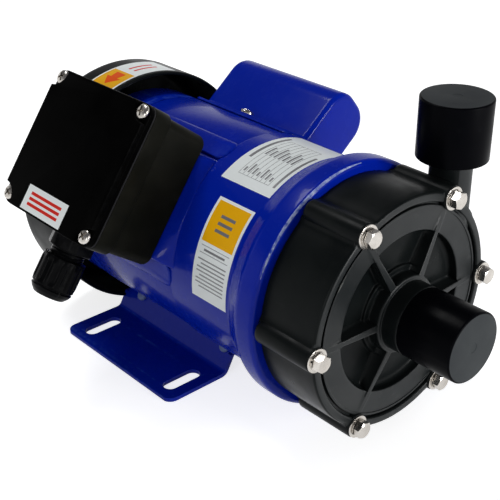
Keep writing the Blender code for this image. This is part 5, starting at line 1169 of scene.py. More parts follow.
    def side_rows(self) -> Array:
        """Profile (radius, station) from the groove over the rolled rim and back along the side wall."""
        groove_outer = self.casing_radius - self.rim_width
        path = filleted([
            (groove_outer, self.groove_floor, 0.0),
            (groove_outer, self.rim_face, 1.3 * MM),
            (self.casing_radius, self.rim_face, 1.6 * MM),
            (self.casing_radius, self.casing_depth, 0.4 * MM),
            (self.socket_radius, self.casing_depth, 0.0),
        ], 5)
        return dense(path, 4.0 * MM)

    def inner_rows(self) -> Array:
        """Profile (radius, station) of the inside, from the rear socket to the suction bore."""
        path = filleted([
            (self.socket_radius, self.casing_depth, 0.0),
            (self.socket_radius, self.socket_floor, 0.5 * MM),
            (self.chamber_radius, self.socket_floor, 0.5 * MM),
            (self.chamber_radius, self.chamber_front, 1.5 * MM),
            (self.suction_bore, self.chamber_front, 1.5 * MM),
            (self.suction_bore, self.port_mouth, 0.0),
        ], 3)
        return dense(path, 6.0 * MM)[1:-1]

    def ribbed(self, radius: Array, distance: Array, station: Array) -> Array:
        """Raise six ribs and their fillets out of the dished face.

        A rib's crest runs straight from the collar's face to the annulus, and its flanks fall away within
        0.3 mm. A fillet f (1 - d / w)^2 fills its foot, where d is the distance from its flank.

        Args:
            radius: radius of each row, of shape (rows, 1).
            distance: distance of each point from the nearest rib's middle line.
            station: station of each point of the bare face.

        Returns:
            The lesser of the face's station and the rib's, outside the neck.
        """
        collar = self.collar_face + self.rib_sink
        crest = np.interp(radius, [self.neck_radius, self.groove_inner], [collar, self.annulus_face])
        beyond = distance - self.rib_half(radius)
        drop = np.interp(beyond, np.array([-0.3, 0.0, 0.12, 0.3]) * MM, np.array([0.0, 0.25, 0.6, 99.0]) * MM)
        fillet = np.clip(1.0 - (beyond - 0.2 * MM) / self.rib_fillet, 0, 1) ** 2
        foot = np.clip(station - crest, 0.0, 1.2 * MM) * fillet
        rib = np.minimum(station - foot, crest + drop)
        return np.where(radius > self.neck_radius + 0.5 * MM, np.minimum(station, rib), station)

    def body(self) -> Shell:
        """The casing as one ring-shaped grid: port, ribbed face, side wall with its swells, and inside.

        On the side wall the radius grows by f (1 - d / w)^2 towards a boss, where d is the distance from it.
        """
        port, face, side = self.port_rows(), self.face_rows(), self.side_rows()
        rows = np.vstack([port, face, side, self.inner_rows()])
        angle, off = self.columns(np.maximum(rows[:, 0], self.suction_bore))
        radius = np.broadcast_to(rows[:, :1], angle.shape).copy()
        station = np.broadcast_to(rows[:, 1:], angle.shape).copy()

        part = slice(0, len(port))
        threaded = radius[part] > self.port_radius - 0.5 * MM
        start, stop = self.port_mouth + 1.0 * MM, self.neck_face - 2.0 * MM
        radius[part] -= self.thread(angle[part], station[part], start, stop) * threaded

        part = slice(part.stop, part.stop + len(face))
        station[part] = self.ribbed(rows[part, :1], off[part] * radius[part], station[part])

        part = slice(part.stop, part.stop + len(side))
        distance = off[part] * self.casing_radius
        swell = self.boss_fillet * np.clip(1.0 - (distance - self.boss_foot) / self.boss_reach, 0.0, 1.0) ** 2
        on_wall = np.clip((rows[part, :1] - self.casing_radius + 1.0 * MM) / (1.0 * MM), 0, 1)
        radius[part] += swell * on_wall
        return tube(SHAFT.polar(radius, -angle, station), ring=True)

    def bosses(self) -> list[Shell]:
        """Six long bosses, each a turned bar with a small front edge and a rounded rear end."""
        rear, wide = self.casing_depth - 0.5 * MM, self.boss_radius + 0.15 * MM
        profile = filleted([
            (0.0, 0.0, 0.0), (self.boss_radius, 0.0, 0.7 * MM), (wide, rear, 2.2 * MM), (0.0, rear, 0.0),
        ], 5)
        turns = math.tau * np.arange(self.boss_count) / self.boss_count
        places = SHAFT.polar(self.bolt_circle, -turns, 0.0)
        return [revolve(replace(SHAFT, origin=place), profile, 48, ring=False) for place in places]

    def branch(self) -> Shell:
        """The upright branch: a neck with a swept foot, under a threaded port with its bore.

        The foot's rows follow the casing: at each bearing a they stand t above the casing's round side, and
        the neck widens there by f - sqrt(f^2 - (f - t)^2), the sweep of a quarter circle of radius f. It
        widens less towards the front, where the casing's face is near.
        """
        survey = self.shop.survey
        middle = survey.middle("discharge_cap")
        seat = survey.heights("discharge_cap")[0] - 0.3 * MM
        top = seat + self.port_length
        axes = Axes.along(np.array([middle[0], middle[1], 0.0]), UPWARD, ACROSS)
        angle = np.linspace(0.0, math.tau, 96, endpoint=False)
        reach = middle[0] + self.branch_radius * np.cos(angle)
        ground = np.sqrt(np.maximum(self.casing_radius**2 - reach**2, self.branch_ground**2))
        above = np.array([-6.0, -2.0, 0.0, 0.3, 0.8, 1.5, 2.4, 3.2, 4.0])[:, None] * MM
        sweep = self.branch_fillet
        flare = sweep - np.sqrt(sweep**2 - np.clip(sweep - above, 0.0, sweep) ** 2)
        room = np.where(np.sin(angle) < 0.0, 1.0 - 0.6 * np.abs(np.sin(angle)), 1.0)
        foot_height = ground + above
        collar = self.port_radius - 0.6 * MM
        thread_start = seat + 2.0 * MM
        neck = filleted([
            (self.branch_radius, foot_height.max(), 0.0), (self.branch_radius, seat, 0.8 * MM),
            (collar, seat, 0.3 * MM), (collar, seat + 1.5 * MM, 0.0),
        ], 3)
        thread = dense(np.array([
            (self.port_radius, thread_start), (self.port_radius, top - self.port_lead),
            (self.port_radius - self.port_lead, top),
        ]), 0.25 * self.thread_pitch)
        wall, edge = self.branch_bore, 0.5 * MM
        mouth = [(wall + edge, top), (wall, top - edge), (wall, self.branch_start)]
        tail = np.vstack([neck[1:], thread, mouth])
        radius = np.vstack([self.branch_radius + flare * room, np.repeat(tail[:, :1], len(angle), axis=1)])
        height = np.vstack([foot_height, np.repeat(tail[:, 1:], len(angle), axis=1)])
        cut = self.thread(angle, height, thread_start, top - 1.0 * MM)
        radius -= cut * (radius > self.port_radius - 0.1 * MM)
        return tube(axes.polar(radius, angle, height), ring=True)

    def spider(self) -> list[Shell]:
        """The spindle's carrier in the suction bore: a nosed boss and three flat arms."""
        radius, front, back = self.spider_radius, self.rim_face, self.rim_face + self.spider_length
        nose = filleted([
            (0.0, front - 4.0 * MM, 0.0), (0.7 * radius, front - 3.0 * MM, 2.5 * MM),
            (radius, front + 1.0 * MM, 2.5 * MM), (radius, back, 0.4 * MM), (0.0, back, 0.0),
        ])
        arm = rectangle(2.6 * MM, 7.0 * MM, 1.0 * MM, 3, (0.0, 0.5 * (front + back)))
        low, high, edge = 5.0 * MM, self.suction_bore + 1.0 * MM, 0.1 * MM
        turns = [math.radians(90.0) + math.tau * index / 3 for index in range(3)]
        arms = [block(radial_axes(turn), arm, low, high, edge, edge) for turn in turns]
        return [revolve(SHAFT, nose, 48, ring=False), *arms]

    def build_casing(self) -> None:
        """Make the front casing moulding."""
        shells = [self.body(), *self.bosses(), self.branch(), *self.spider()]
        casing = self.shop.piece(
            "front_casing_moulding", shells, "moulded_black", ("front_casing",), Slot.MOULDED, crease=42.0
        )
        # The forward faces get the lighter copy of the black: painted light where the front lamp falls.
        self.shop.paint_lit_front_faces(casing, "moulded_lit_face", self.hub_face - 1.0 * MM)

    def build_cap(self, node: str, name: str, axes: Axes, length: float, body: Body) -> None:
        """Make a push-on cap: thin wall, open rim, and a flat end with a small gate mark under a film in a
        lighter grey, painted light where the lamps fall on the end.

        Args:
            node: the solid that it stands for.
            name: the piece's name.
            axes: a frame at its rim, with out towards its end.
            length: its length.
            body: what it rides on.
        """
        top = length - self.lit_end_film
        radius = self.port_radius + 0.3 * MM + self.cap_wall
        bore, land, mark = radius - self.cap_wall, radius - self.cap_edge, self.gate_radius - 0.3 * MM
        wall = filleted([
            (0.0, top - self.cap_end, 0.0), (bore, top - self.cap_end, 0.6 * MM), (bore, 0.0, 0.3 * MM),
            (radius, 0.0, 0.4 * MM), (radius, top, self.cap_edge), (self.gate_radius, top, 0.1 * MM),
            (mark, top - 0.25 * MM, 0.1 * MM), (0.0, top - 0.25 * MM, 0.0),
        ], 5)
        # The end's film is lighter grey than the wall: painted light on the end face.
        film = filleted([
            (0.0, top - 0.5 * MM, 0.0), (land, top - 0.5 * MM, 0.0), (land, length, 0.02 * MM),
            (self.gate_radius, length, 0.1 * MM), (mark, top - 0.2 * MM, 0.1 * MM),
            (0.0, top - 0.2 * MM, 0.0),
        ], 3)
        shells = [revolve(axes, profile, 128, ring=False) for profile in (wall, film)]
        self.shop.piece(name, shells, ["port_rubber", "port_rubber_lit_end"], (node,), Slot.CAP, body)

    def build_caps(self) -> None:
        """Make both transport caps."""
        survey = self.shop.survey
        front, back = survey.stations("suction_cap")
        toward = Axes.along(np.array([0.0, back, 0.0]), -ALONG, ACROSS)
        self.build_cap("suction_cap", "suction_port_cap", toward, back - front, Body.SUCTION_CAP)
        middle = survey.middle("discharge_cap")
        low, high = survey.heights("discharge_cap")
        upward = Axes.along(np.array([middle[0], middle[1], low]), UPWARD, ACROSS)
        self.build_cap("discharge_cap", "discharge_port_cap", upward, high - low, Body.DISCHARGE_CAP)

    def build_bolt(self, index: int) -> None:
        """Make one hexagon bolt, and its flat washer under a split spring washer."""
        survey = self.shop.survey
        node = f"casing_washer_{index}"
        middle = survey.middle(node)
        front, back = survey.stations(node)
        toward = Axes.along(np.array([middle[0], back, middle[2]]), -ALONG, ACROSS)
        wide = survey.radius(node, toward)
        bore, flat = self.washer_bore, self.washer_flat
        section = rounded(np.array([(bore, 0.0), (wide, 0.0), (wide, flat), (bore, flat)]), 0.15 * MM, 2)
        washers = [revolve(toward, section, 64), self.split_washer(toward, flat, back - front, 0.7 * index)]
        self.shop.piece(f"washer_pair_{index}", washers, "bright_steel", (node,), Slot.PLATED)
        low, high = survey.stations(f"casing_bolt_{index}")
        seat = toward.moved(0.0, 0.0, back - (low + self.bolt_height))
        turn = math.atan2(middle[2], middle[0]) + 0.35 * index
        start, end = 0.2 * MM, low + self.bolt_height - high
        wall, point = self.bolt_radius, self.bolt_point
        bar = np.array([(0.0, start), (wall, start), (wall, end + point), (wall - point, end), (0.0, end)])
        head = hexagon_head(seat, self.bolt_flats, self.bolt_height, turn)
        shells = [head, revolve(seat, bar, 32, ring=False)]
        name = f"casing_hexagon_bolt_{index}"
        self.shop.piece(name, shells, "bright_steel", (f"casing_bolt_{index}",), Slot.PLATED)

    def split_washer(self, axes: Axes, low: float, high: float, turn: float) -> Shell:
        """A spring washer: a square section carried round all but a few degrees, its ends a little apart.

        Args:
            axes: frame of the bolt's seat.
            low: height of its lower face.
            high: height of its upper face.
            turn: how far round its axis the gap stands.

        Returns:
            The closed ring.
        """
        steps, inner, outer = 72, self.washer_bore, self.spring_washer
        angle = np.linspace(math.radians(6.0), math.radians(354.0), steps)[:, None] + turn
        lift = np.linspace(-0.08 * MM, 0.08 * MM, steps)[:, None]
        section = rounded(np.array([(inner, low), (outer, low), (outer, high), (inner, high)]), 0.12 * MM, 2)
        return tube(axes.polar(section[:, 0], angle, np.clip(section[:, 1] + lift, low, high)))

    def build(self) -> None:
        """Make the whole pump head."""
        self.build_casing()
        self.build_caps()
        for index in range(1, self.boss_count + 1):
            self.build_bolt(index)


# The motor


@dataclass
class Sheet:
    """A thin label or plate, with its own coordinates u and v from nought to one."""

    thickness: float = 0.12 * MM
    mark_rise: float = 0.05 * MM

    def place(self, u: Array, v: Array, lift: float) -> Array:
        """Points of the label at a height over what it lies on."""
        raise NotImplementedError

    def patch(self, box: Box, low: float, high: float) -> Shell:
        """A slab over the part (u0, v0, u1, v1) of the label, between two heights."""
        u, v = np.meshgrid(np.linspace(box[0], box[2], 25), np.linspace(box[1], box[3], 25), indexing="ij")
        return slab(self.place(u, v, high), self.place(u, v, low))

    def mark(self, box: Box, layer: int = 1) -> Shell:
        """A printed rectangle, as a film on the label."""
        return self.patch(box, 0.5 * self.thickness, self.thickness + layer * self.mark_rise)

    def taper(self, start: Pair, stop: Pair, half: Pair) -> Shell:
        """A printed bar whose half width along u changes evenly between two points, as a second film.

        Args:
            start: u and v of its first end.
            stop: u and v of its second end.
            half: half its width at each end.

        Returns:
            The closed film.
        """
        share, side = np.meshgrid(np.linspace(0.0, 1.0, 13), np.linspace(-1.0, 1.0, 5), indexing="ij")
        width = half[0] + (half[1] - half[0]) * share
        u = start[0] + (stop[0] - start[0]) * share + side * width
        v = start[1] + (stop[1] - start[1]) * share
        top = self.thickness + 2 * self.mark_rise
        return slab(self.place(u, v, top), self.place(u, v, 0.5 * self.thickness))

    def base(self) -> Shell:
        """The label's own sheet."""
        return self.patch((0.0, 0.0, 1.0, 1.0), 0.02 * MM, self.thickness)


@dataclass
class WrappedSheet(Sheet):
    """A label bent round the shaft: u runs along the shaft and v round it."""

    radius: float = 60.0 * MM
    stations: Pair = (0.0, 0.0)
    angles: Pair = (0.0, 0.0)

    def place(self, u: Array, v: Array, lift: float) -> Array:
        """Point at radius + lift, at the station and angle that u and v share out."""
        turn = self.angles[0] + (self.angles[1] - self.angles[0]) * v
        station = self.stations[0] + (self.stations[1] - self.stations[0]) * u
        return SHAFT.polar(self.radius + lift, -turn, station)


@dataclass
class FlatSheet(Sheet):
    """A flat label on a frame's face: u runs across and v runs up."""

    axes: Axes = SHAFT
    across: Pair = (0.0, 0.0)
    along: Pair = (0.0, 0.0)
    height: float = 0.0

    def place(self, u: Array, v: Array, lift: float) -> Array:
        """Point on the face at the shares u and v of the label's two sides."""
        x = self.across[0] + (self.across[1] - self.across[0]) * u
        y = self.along[0] + (self.along[1] - self.along[0]) * v
        return self.axes.at(x, y, self.height + lift)


@dataclass
class Motor:
    """Bracket, shell, fan cover and the plain labels on them."""

    shop: Workshop
    bracket_radius: float = 60.0 * MM
    bracket_bore: float = 53.0 * MM
    flange_radius: float = 66.5 * MM
    flange_bore: float = 48.0 * MM
    flange_length: float = 12.0 * MM
    flange_cone: float = 11.5 * MM
    flange_wall: float = 10.0 * MM
    lip_round: float = 2.6 * MM
    web_bore: float = 12.0 * MM
    web_radius: float = 53.5 * MM
    web_front: float = 12.0 * MM
    web_back: float = 7.0 * MM
    shell_radius: float = 59.0 * MM
    shell_bore: float = 56.5 * MM
    skirt_radius: float = 58.7 * MM
    skirt_bore: float = 55.4 * MM
    skirt_gap: float = 0.2 * MM
    skirt_length: float = 22.4 * MM
    # Where the lighter lip film lies: partly rubbed paint, partly a painted highlight along the top of the
    # lip.
    rub_highlight_middle: float = math.radians(46.0)
    rub_highlight_half: float = math.radians(17.0)
    rub_highlight_angles: Pair = (math.radians(84.0), math.radians(158.0))
    cover_radius: float = 71.0 * MM
    cover_wall: float = 2.0 * MM
    cover_hem: float = 0.95 * MM
    cover_round: float = 8.0 * MM
    cover_screws: int = 3
    slot_start: float = 16.0 * MM
    slot_width: float = 7.0 * MM
    slot_bar: float = 4.0 * MM
    slot_rings: int = 3
    spokes: int = 4
    spoke_width: float = 6.0 * MM
    rating_stations: Pair = (59.8 * MM, 96.3 * MM)
    rating_angles: Pair = (math.radians(123.0), math.radians(67.0))
    side_stations: Pair = (62.3 * MM, 88.0 * MM)
    side_angles: Pair = (math.radians(183.0), math.radians(132.0))
    cover_label: Pair = (2.8 * MM, 24.0 * MM)
    cover_label_angles: Pair = (math.radians(112.0), math.radians(73.0))

    def build_bracket(self) -> None:
        """Make the turned bracket: rolled lip, short flange, sweeping cone, long barrel and bearing web."""
        front, back = self.shop.survey.stations("motor_bracket")
        cone_start = front + self.flange_length
        cone_end = cone_start + self.flange_cone
        profile = filleted([
            (self.flange_bore, front, 0.5 * MM), (self.flange_radius, front, self.lip_round),
            (self.flange_radius, cone_start, 9.0 * MM), (self.bracket_radius, cone_end, 9.0 * MM),
            (self.bracket_radius, back, 0.9 * MM), (self.bracket_bore, back, 0.4 * MM),
            (self.bracket_bore, cone_end, 1.0 * MM),
            (self.flange_radius - self.flange_wall, cone_start, 1.0 * MM),
            (self.flange_bore, cone_start, 1.0 * MM),
        ], 7, closed=True)
        front_web, back_web = back - self.web_front, back - self.web_back
        web = np.array([
            (self.web_bore, front_web), (self.web_radius, front_web), (self.web_radius, back_web),
            (self.web_bore, back_web),
        ])
        shells = [revolve(SHAFT, profile, 160), revolve(SHAFT, rounded(web, 0.5 * MM, 2), 96)]
        self.shop.piece("motor_bracket_casting", shells, "blue_gloss", ("motor_bracket",), Slot.ENAMEL)

    def build_lip_rub_and_highlight(self) -> None:
        """Make the lighter film that lies on the bracket's lip: partly rubbed paint, partly a painted
        highlight on the top of the lip's roll.

        Its edges lie at equal angles on both sides of a middle line, and come together at both ends as the
        power 0.6 of the sine of the share of its length.
        """
        front = self.shop.survey.stations("motor_bracket")[0]
        share = np.linspace(0.02, 0.98, 60)[:, None]
        turn = self.rub_highlight_middle + self.rub_highlight_half * np.sin(math.pi * share) ** 0.6 * np.linspace(-1.0, 1.0, 6)
        turn = np.hstack([turn, turn[:, ::-1]])
        reach = self.lip_round + np.repeat([0.02 * MM, -0.05 * MM], 6)
        radius = self.flange_radius - self.lip_round + reach * np.cos(turn)
        station = front + self.lip_round - reach * np.sin(turn)
        angle = self.rub_highlight_angles[0] + (self.rub_highlight_angles[1] - self.rub_highlight_angles[0]) * share
        rows = SHAFT.polar(radius, -angle, station)
        self.shop.piece("rubbed_and_highlight_lip", [tube(rows)], "rubbed_blue", (), Slot.ENAMEL)

    def build_shell(self) -> None:
        """Make the motor's shell, a rolled tube, and the rear end shield's skirt behind it."""
        front, back = self.shop.survey.stations("motor_shell")
        corners = [
            (self.shell_bore, front, 0.3 * MM), (self.shell_radius, front, 0.7 * MM),
            (self.shell_radius, back, 0.8 * MM), (self.shell_bore, back, 0.3 * MM),
        ]
        tube_wall = revolve(SHAFT, filleted(corners, 3, closed=True), 160)
        self.shop.piece("motor_shell_tube", [tube_wall], "blue_gloss", ("motor_shell",), Slot.ENAMEL)
        inner, outer = self.skirt_bore, self.skirt_radius
        start, stop = back + self.skirt_gap, back + self.skirt_length
        section = np.array([(inner, start), (outer, start), (outer, stop), (inner, stop)])
        skirt = revolve(SHAFT, rounded(section, 0.6 * MM, 3), 160)
        self.shop.piece("end_shield_skirt", [skirt], "blue_gloss", (), Slot.ENAMEL)

    def build_cover(self) -> None:
        """Make the fan cover: a deep dish with a hemmed rim, rings of slots in its end, and its screws."""
        front, back = self.shop.survey.stations("fan_cover")
        outer, inner, end = self.cover_radius, self.cover_radius - self.cover_wall, back - self.cover_wall
        profile = filleted([
            (0.0, back, 0.0), (outer, back, self.cover_round), (outer, front, self.cover_hem),
            (inner, front, self.cover_hem), (inner, end, self.cover_round - self.cover_wall), (0.0, end, 0.0),
        ], 8)
        dish = revolve(SHAFT, profile, 144, ring=False)
        cover = self.shop.piece("fan_cover_pressing", [dish], "moulded_black", ("fan_cover",), Slot.MOULDED)
        pitch = self.slot_width + self.slot_bar
        starts = [self.slot_start + ring * pitch for ring in range(self.slot_rings)]
        turns = [math.tau * spoke / self.spokes for spoke in range(self.spokes)]
        self.shop.cut(cover, [self.slot(inner, turn, back) for inner in starts for turn in turns])
        for index in range(1, self.cover_screws + 1):
            node = f"fan_cover_screw_{index}"
            middle = self.shop.survey.middle(node)
            axes = radial_axes(math.atan2(middle[2], middle[0]))
            self.shop.pan_screw(node, f"cover_pan_screw_{index}", axes, 3.5 * MM, 0.4 * index, tip=0.6 * MM)

    def slot(self, inner: float, start: float, back: float) -> Shell:
        """A slot's cutter: an arc-shaped outline with rounded ends, carried through the end wall.

        Args:
            inner: the slot's inner radius.
            start: angle of the spoke that it starts from.
            back: station of the end wall's outside.

        Returns:
            The closed cutter.
        """
        steps, outer = 25, inner + self.slot_width
        margin = 0.5 * self.spoke_width / inner
        turn = np.linspace(start + margin, start + math.tau / self.spokes - margin, steps)
        near = np.stack([inner * np.cos(turn), -inner * np.sin(turn)], axis=1)
        far = np.stack([outer * np.cos(turn[::-1]), -outer * np.sin(turn[::-1])], axis=1)
        radii = np.zeros(2 * steps)
        radii[[0, steps - 1, steps, 2 * steps - 1]] = 0.6 * MM
        return prism(SHAFT, rounded(np.vstack([near, far]), radii, 3), back - 4.0 * MM, back + 1.0 * MM)

    def build_rating_plate(self) -> None:
        """Make the bare rating plate: a white sheet with ruled lines and no words."""
        stations, angles = self.rating_stations, self.rating_angles
        sheet = WrappedSheet(radius=self.bracket_radius, stations=stations, angles=angles)
        line, pitch, left, right = 0.006, 0.085, 0.10, 0.74
        boxes = [(0.20 + pitch * row, left, 0.20 + pitch * row + line, right) for row in range(8)]
        boxes += [(0.20, column, 0.795 + line, column + 0.5 * line) for column in (left, right)]
        for row in range(7):
            u = 0.225 + pitch * row
            boxes.append((u, 0.14, u + 0.03, 0.14 + 0.05 + 0.03 * (row % 3)))
            boxes.append((u, 0.40, u + 0.03, 0.40 + 0.10 + 0.04 * ((row + 1) % 3)))
        boxes += [(0.08, 0.10, 0.12, 0.62), (0.87, 0.30, 0.92, 0.80)]
        self.shop.label("rating_plate", sheet, {"grey_ink": [sheet.mark(box) for box in boxes]})

    def build_side_sticker(self) -> None:
        """Make the tall sticker on the bracket: a yellow square over a white field with plain bars."""
        sheet = WrappedSheet(radius=self.bracket_radius, stations=self.side_stations, angles=self.side_angles)
        boxes = [(0.10, 0.45, 0.90, 0.455), (0.10, 0.52, 0.90, 0.525), (0.20, 0.475, 0.80, 0.495)]
        for row in range(8):
            v = 0.12 + 0.038 * row
            boxes.append((0.10, v, 0.90 - 0.10 * (row % 3 == 0), v + 0.012))
        grey = [sheet.mark(box) for box in boxes]
        grey += [sheet.mark((0.30, v, 0.70, v + 0.03), 2) for v in (0.68, 0.75, 0.82)]
        yellow = [sheet.mark((0.06, 0.56, 0.94, 0.97))]
        self.shop.label("side_sticker", sheet, {"yellow_vinyl": yellow, "grey_ink": grey})

    def build_cover_sticker(self) -> None:
        """Make the band on the fan cover: a plain arrow on yellow, and two bars on white."""
        front = self.shop.survey.stations("fan_cover")[0]
        stations = (front + self.cover_label[0], front + self.cover_label[1])
        sheet = WrappedSheet(radius=self.cover_radius, stations=stations, angles=self.cover_label_angles)
        self.shop.label("cover_sticker", sheet, {
            "yellow_vinyl": [sheet.mark((0.06, 0.02, 0.94, 0.405))],
            "orange_ink": [
                sheet.taper((0.5, 0.36), (0.5, 0.23), (0.19, 0.13)),
                sheet.taper((0.5, 0.24), (0.5, 0.10), (0.29, 0.02)),
            ],
            "red_ink": [sheet.mark((u, 0.50, u + 0.07, 0.84)) for u in (0.34, 0.57)],
        })

    def build(self) -> None:
        """Make the whole motor."""
        self.build_bracket()
        self.build_lip_rub_and_highlight()
        self.build_shell()
        self.build_cover()
        self.build_rating_plate()
        self.build_side_sticker()
        self.build_cover_sticker()


@dataclass
class CapacitorCover:
    """The drawn hood over the capacitor, its curved flanges and its two screws."""

    shop: Workshop
    angle: float = math.radians(38.9)
    width: float = 34.2 * MM
    clear: float = 0.08 * MM
    corner: float = 13.7 * MM
    edge: float = 3.2 * MM
    flange: float = 28.1 * MM
    flange_inset: float = 2.0 * MM
    flange_corner: float = 5.0 * MM
    sheet: float = 1.3 * MM
    seat: float = 59.3 * MM
    bend: float = 2.2 * MM
    screw_head: float = 3.9 * MM
    screw_proud: float = 0.6 * MM

    def section(self, distance: float) -> Array:
        """Outline (across, out) of the hood: a tombstone whose sides flare into the flanges.

        Args:
            distance: how far the outline is drawn in, at a rolled end.

        Returns:
            Counter-clockwise points of shape (n, 2).
        """
        top = self.shop.survey.span("capacitor_cover", radial_axes(self.angle).out)[1] - self.clear
        half = 0.5 * self.width - self.clear
        wide = half + self.bend
        foot = math.sqrt((self.seat + self.sheet) ** 2 - wide**2) - 0.2 * MM
        right = [
            (wide, foot - 4.0 * MM, 0.0), (wide, foot, 0.2 * MM), (half, foot + 1.0 * MM, self.bend),
            (half, top, self.corner),
        ]
        left = [(-x, y, radius) for x, y, radius in reversed(right)]
        outline = filleted(right + left, 10, closed=True)
        drawn = inset(outline, distance)
        drawn[:, 1] = np.where(outline[:, 1] < foot + 0.1 * MM, outline[:, 1], drawn[:, 1])
        return drawn

    def hood(self, axes: Axes, front: float, back: float) -> Shell:
        """The hood, its outline carried along the shaft and drawn in over both ends."""
        turn = np.linspace(0.0, 0.5 * math.pi, 7)
        insets, steps = self.edge * (1 - np.sin(turn)), self.edge * (1 - np.cos(turn))
        stations = np.concatenate([front + steps, (back - steps)[::-1]])
        rows = np.stack([self.section(distance) for distance in np.concatenate([insets, insets[::-1]])])
        return tube(axes.at(rows[..., 0], stations[:, None], rows[..., 1]))

    def build(self) -> None:
        """Make the cover and its screws."""
        survey, axes = self.shop.survey, radial_axes(self.angle)
        front, back = survey.stations("capacitor_cover")
        near, far = front + self.flange_inset, back - self.flange_inset
        outline = rectangle(2.0 * self.flange, far - near, self.flange_corner, 8, (0.0, 0.5 * (near + far)))
        shells = [self.hood(axes, front, back), bent_sheet(axes, outline, self.seat, self.sheet)]
        self.shop.piece("capacitor_hood", shells, "blue_gloss", ("capacitor_cover",), Slot.ENAMEL)
        for index in (1, 2):
            node, name = f"capacitor_screw_{index}", f"capacitor_pan_screw_{index}"
            middle = survey.middle(node)
            turned = radial_axes(math.atan2(middle[2], middle[0]))
            self.shop.pan_screw(node, name, turned, self.screw_head, 0.3 + index, self.screw_proud, None)


@dataclass
class TerminalBox:
    """Saddle, box, lid with its label, screws and the cable gland."""

    shop: Workshop
    angle: float = math.radians(144.7)
    width: float = 77.0 * MM
    length: float = 80.0 * MM
    corner: float = 6.0 * MM
    rim_step: float = 1.4 * MM
    rim_depth: float = 11.0 * MM
    overlap: float = 1.0 * MM
    panel_step: float = 0.3 * MM
    notch: float = 9.8 * MM
    panel_rise: float = 2.6 * MM
    screw_head: float = 3.9 * MM
    saddle_bore: float = 59.3 * MM
    saddle_sheet: float = 1.7 * MM
    flap_corner: float = 4.0 * MM
    tongue: tuple[float, float, float] = (29.8 * MM, 41.0 * MM, 104.7 * MM)
    ear: tuple[float, float, float] = (-41.0 * MM, -30.6 * MM, 105.6 * MM)
    deck_height: float = 60.6 * MM
    deck_downhill: float = -29.0 * MM
    deck_uphill: float = 25.8 * MM
    deck_front: float = 108.8 * MM
    deck_roll: float = 2.2 * MM
    deck_side: float = 9.0 * MM
    deck_floor: float = 46.0 * MM
    margin_places: tuple[float, ...] = (-27.0 * MM, 1.5 * MM, 27.0 * MM)
    margin_feet: tuple[float, ...] = (102.9 * MM, 102.7 * MM, 106.1 * MM)
    seal_rise: float = 0.3 * MM
    seal_inset: float = 0.8 * MM
    foot_front: float = 111.3 * MM
    foot_half: float = 36.2 * MM
    hex_flats: float = 23.0 * MM
    hex_length: float = 7.6 * MM
    gland_thread: float = 9.5 * MM
    gland_mouth: float = 6.0 * MM
    gland_pitch: float = 1.5 * MM
    gland_depth: float = 0.45 * MM
    nut_radius: float = 11.5 * MM
    nut_ribs: int = 12
    nut_relief: float = 0.35 * MM
    label_across: Pair = (-36.9 * MM, -23.6 * MM)
    label_along: Pair = (138.8 * MM, 174.8 * MM)

    def __post_init__(self) -> None:
        """Find the box's frame, whose out is the lid's way and whose up is the shaft's."""
        self.axes = radial_axes(self.angle)
        front, back = self.shop.survey.stations("terminal_box_lid")
        self.middle = 0.5 * (front + back)
        self.centred = self.axes.moved(0.0, self.middle, 0.0)
        self.foot = self.deck_height + self.seal_rise
        self.rim = rectangle(self.width, self.length, self.corner, 8)

    def heights(self, node: str) -> Pair:
        """Reach of a solid along the box's out."""
        return self.shop.survey.span(node, self.axes.out)

    def wall_outline(self, height: float) -> Array:
        """The box wall's outline at a height, drawn evenly from its foot to the outline under its rim."""
        under_rim = self.heights("terminal_box_base")[1] - self.rim_depth
        share = min(1.0, (height - self.foot) / (under_rim - self.foot))
        half = self.foot_half + share * (0.5 * self.width - self.rim_step - self.foot_half)
        front = self.foot_front + share * (self.middle - 0.5 * self.length + self.rim_step - self.foot_front)
        back = self.middle + 0.5 * self.length - self.rim_step
        return rectangle(2.0 * half, back - front, self.corner - 0.5 * MM, 8, (0.0, 0.5 * (front + back)))

    def wall(self, high: float) -> Shell:
        """The box's drafted wall, with a small roll at its foot."""
        low = self.foot
        heights = np.array([low, low + 0.25 * MM, low + 0.9 * MM, high - self.rim_depth, high])
        insets = np.array([0.7, 0.2, 0.0, 0.0, 0.0]) * MM
        rows = np.stack([inset(self.wall_outline(height), draw) for height, draw in zip(heights, insets)])
        return tube(self.axes.at(rows[..., 0], rows[..., 1], heights[:, None]))

    def build_base(self) -> None:
        """Make the box, a drafted body under a thicker rim, and the seal under it."""
        high = self.heights("terminal_box_base")[1]
        rim = block(self.centred, self.rim, high - self.rim_depth, high, 0.7 * MM, 0.3 * MM)
        shells = [self.wall(high - self.overlap), rim]
        self.shop.piece("terminal_box_body", shells, "box_black", ("terminal_box_base",), Slot.BOX)
        outline, sunk = inset(self.wall_outline(self.foot), self.seal_inset), 0.4 * MM
        seal = block(self.axes, outline, self.deck_height - sunk, self.foot + sunk, 0.1 * MM, 0.1 * MM)
        self.shop.piece("terminal_box_seal", [seal], "seal_black", ("terminal_box_pad",), Slot.SEAL)

    def notched(self) -> Array:
        """Outline of the raised panel, its corners cut back by quarter circles round the screws."""
        x = 0.5 * self.width - self.panel_step
        y = 0.5 * self.length - self.panel_step
        bite, steps = self.notch, 8
        parts = []
        for sx, sy, start in ((1, -1, 180.0), (1, 1, 270.0), (-1, 1, 0.0), (-1, -1, 90.0)):
            turn = np.radians(np.linspace(start, start - 90.0, steps + 1))
            parts.append(np.stack([sx * x + bite * np.cos(turn), sy * y + bite * np.sin(turn)], axis=1))
        outline = np.vstack(parts)
        radii = np.zeros(len(outline))
        radii[0 :: steps + 1] = radii[steps :: steps + 1] = 0.8 * MM
        return rounded(outline, radii, 3)

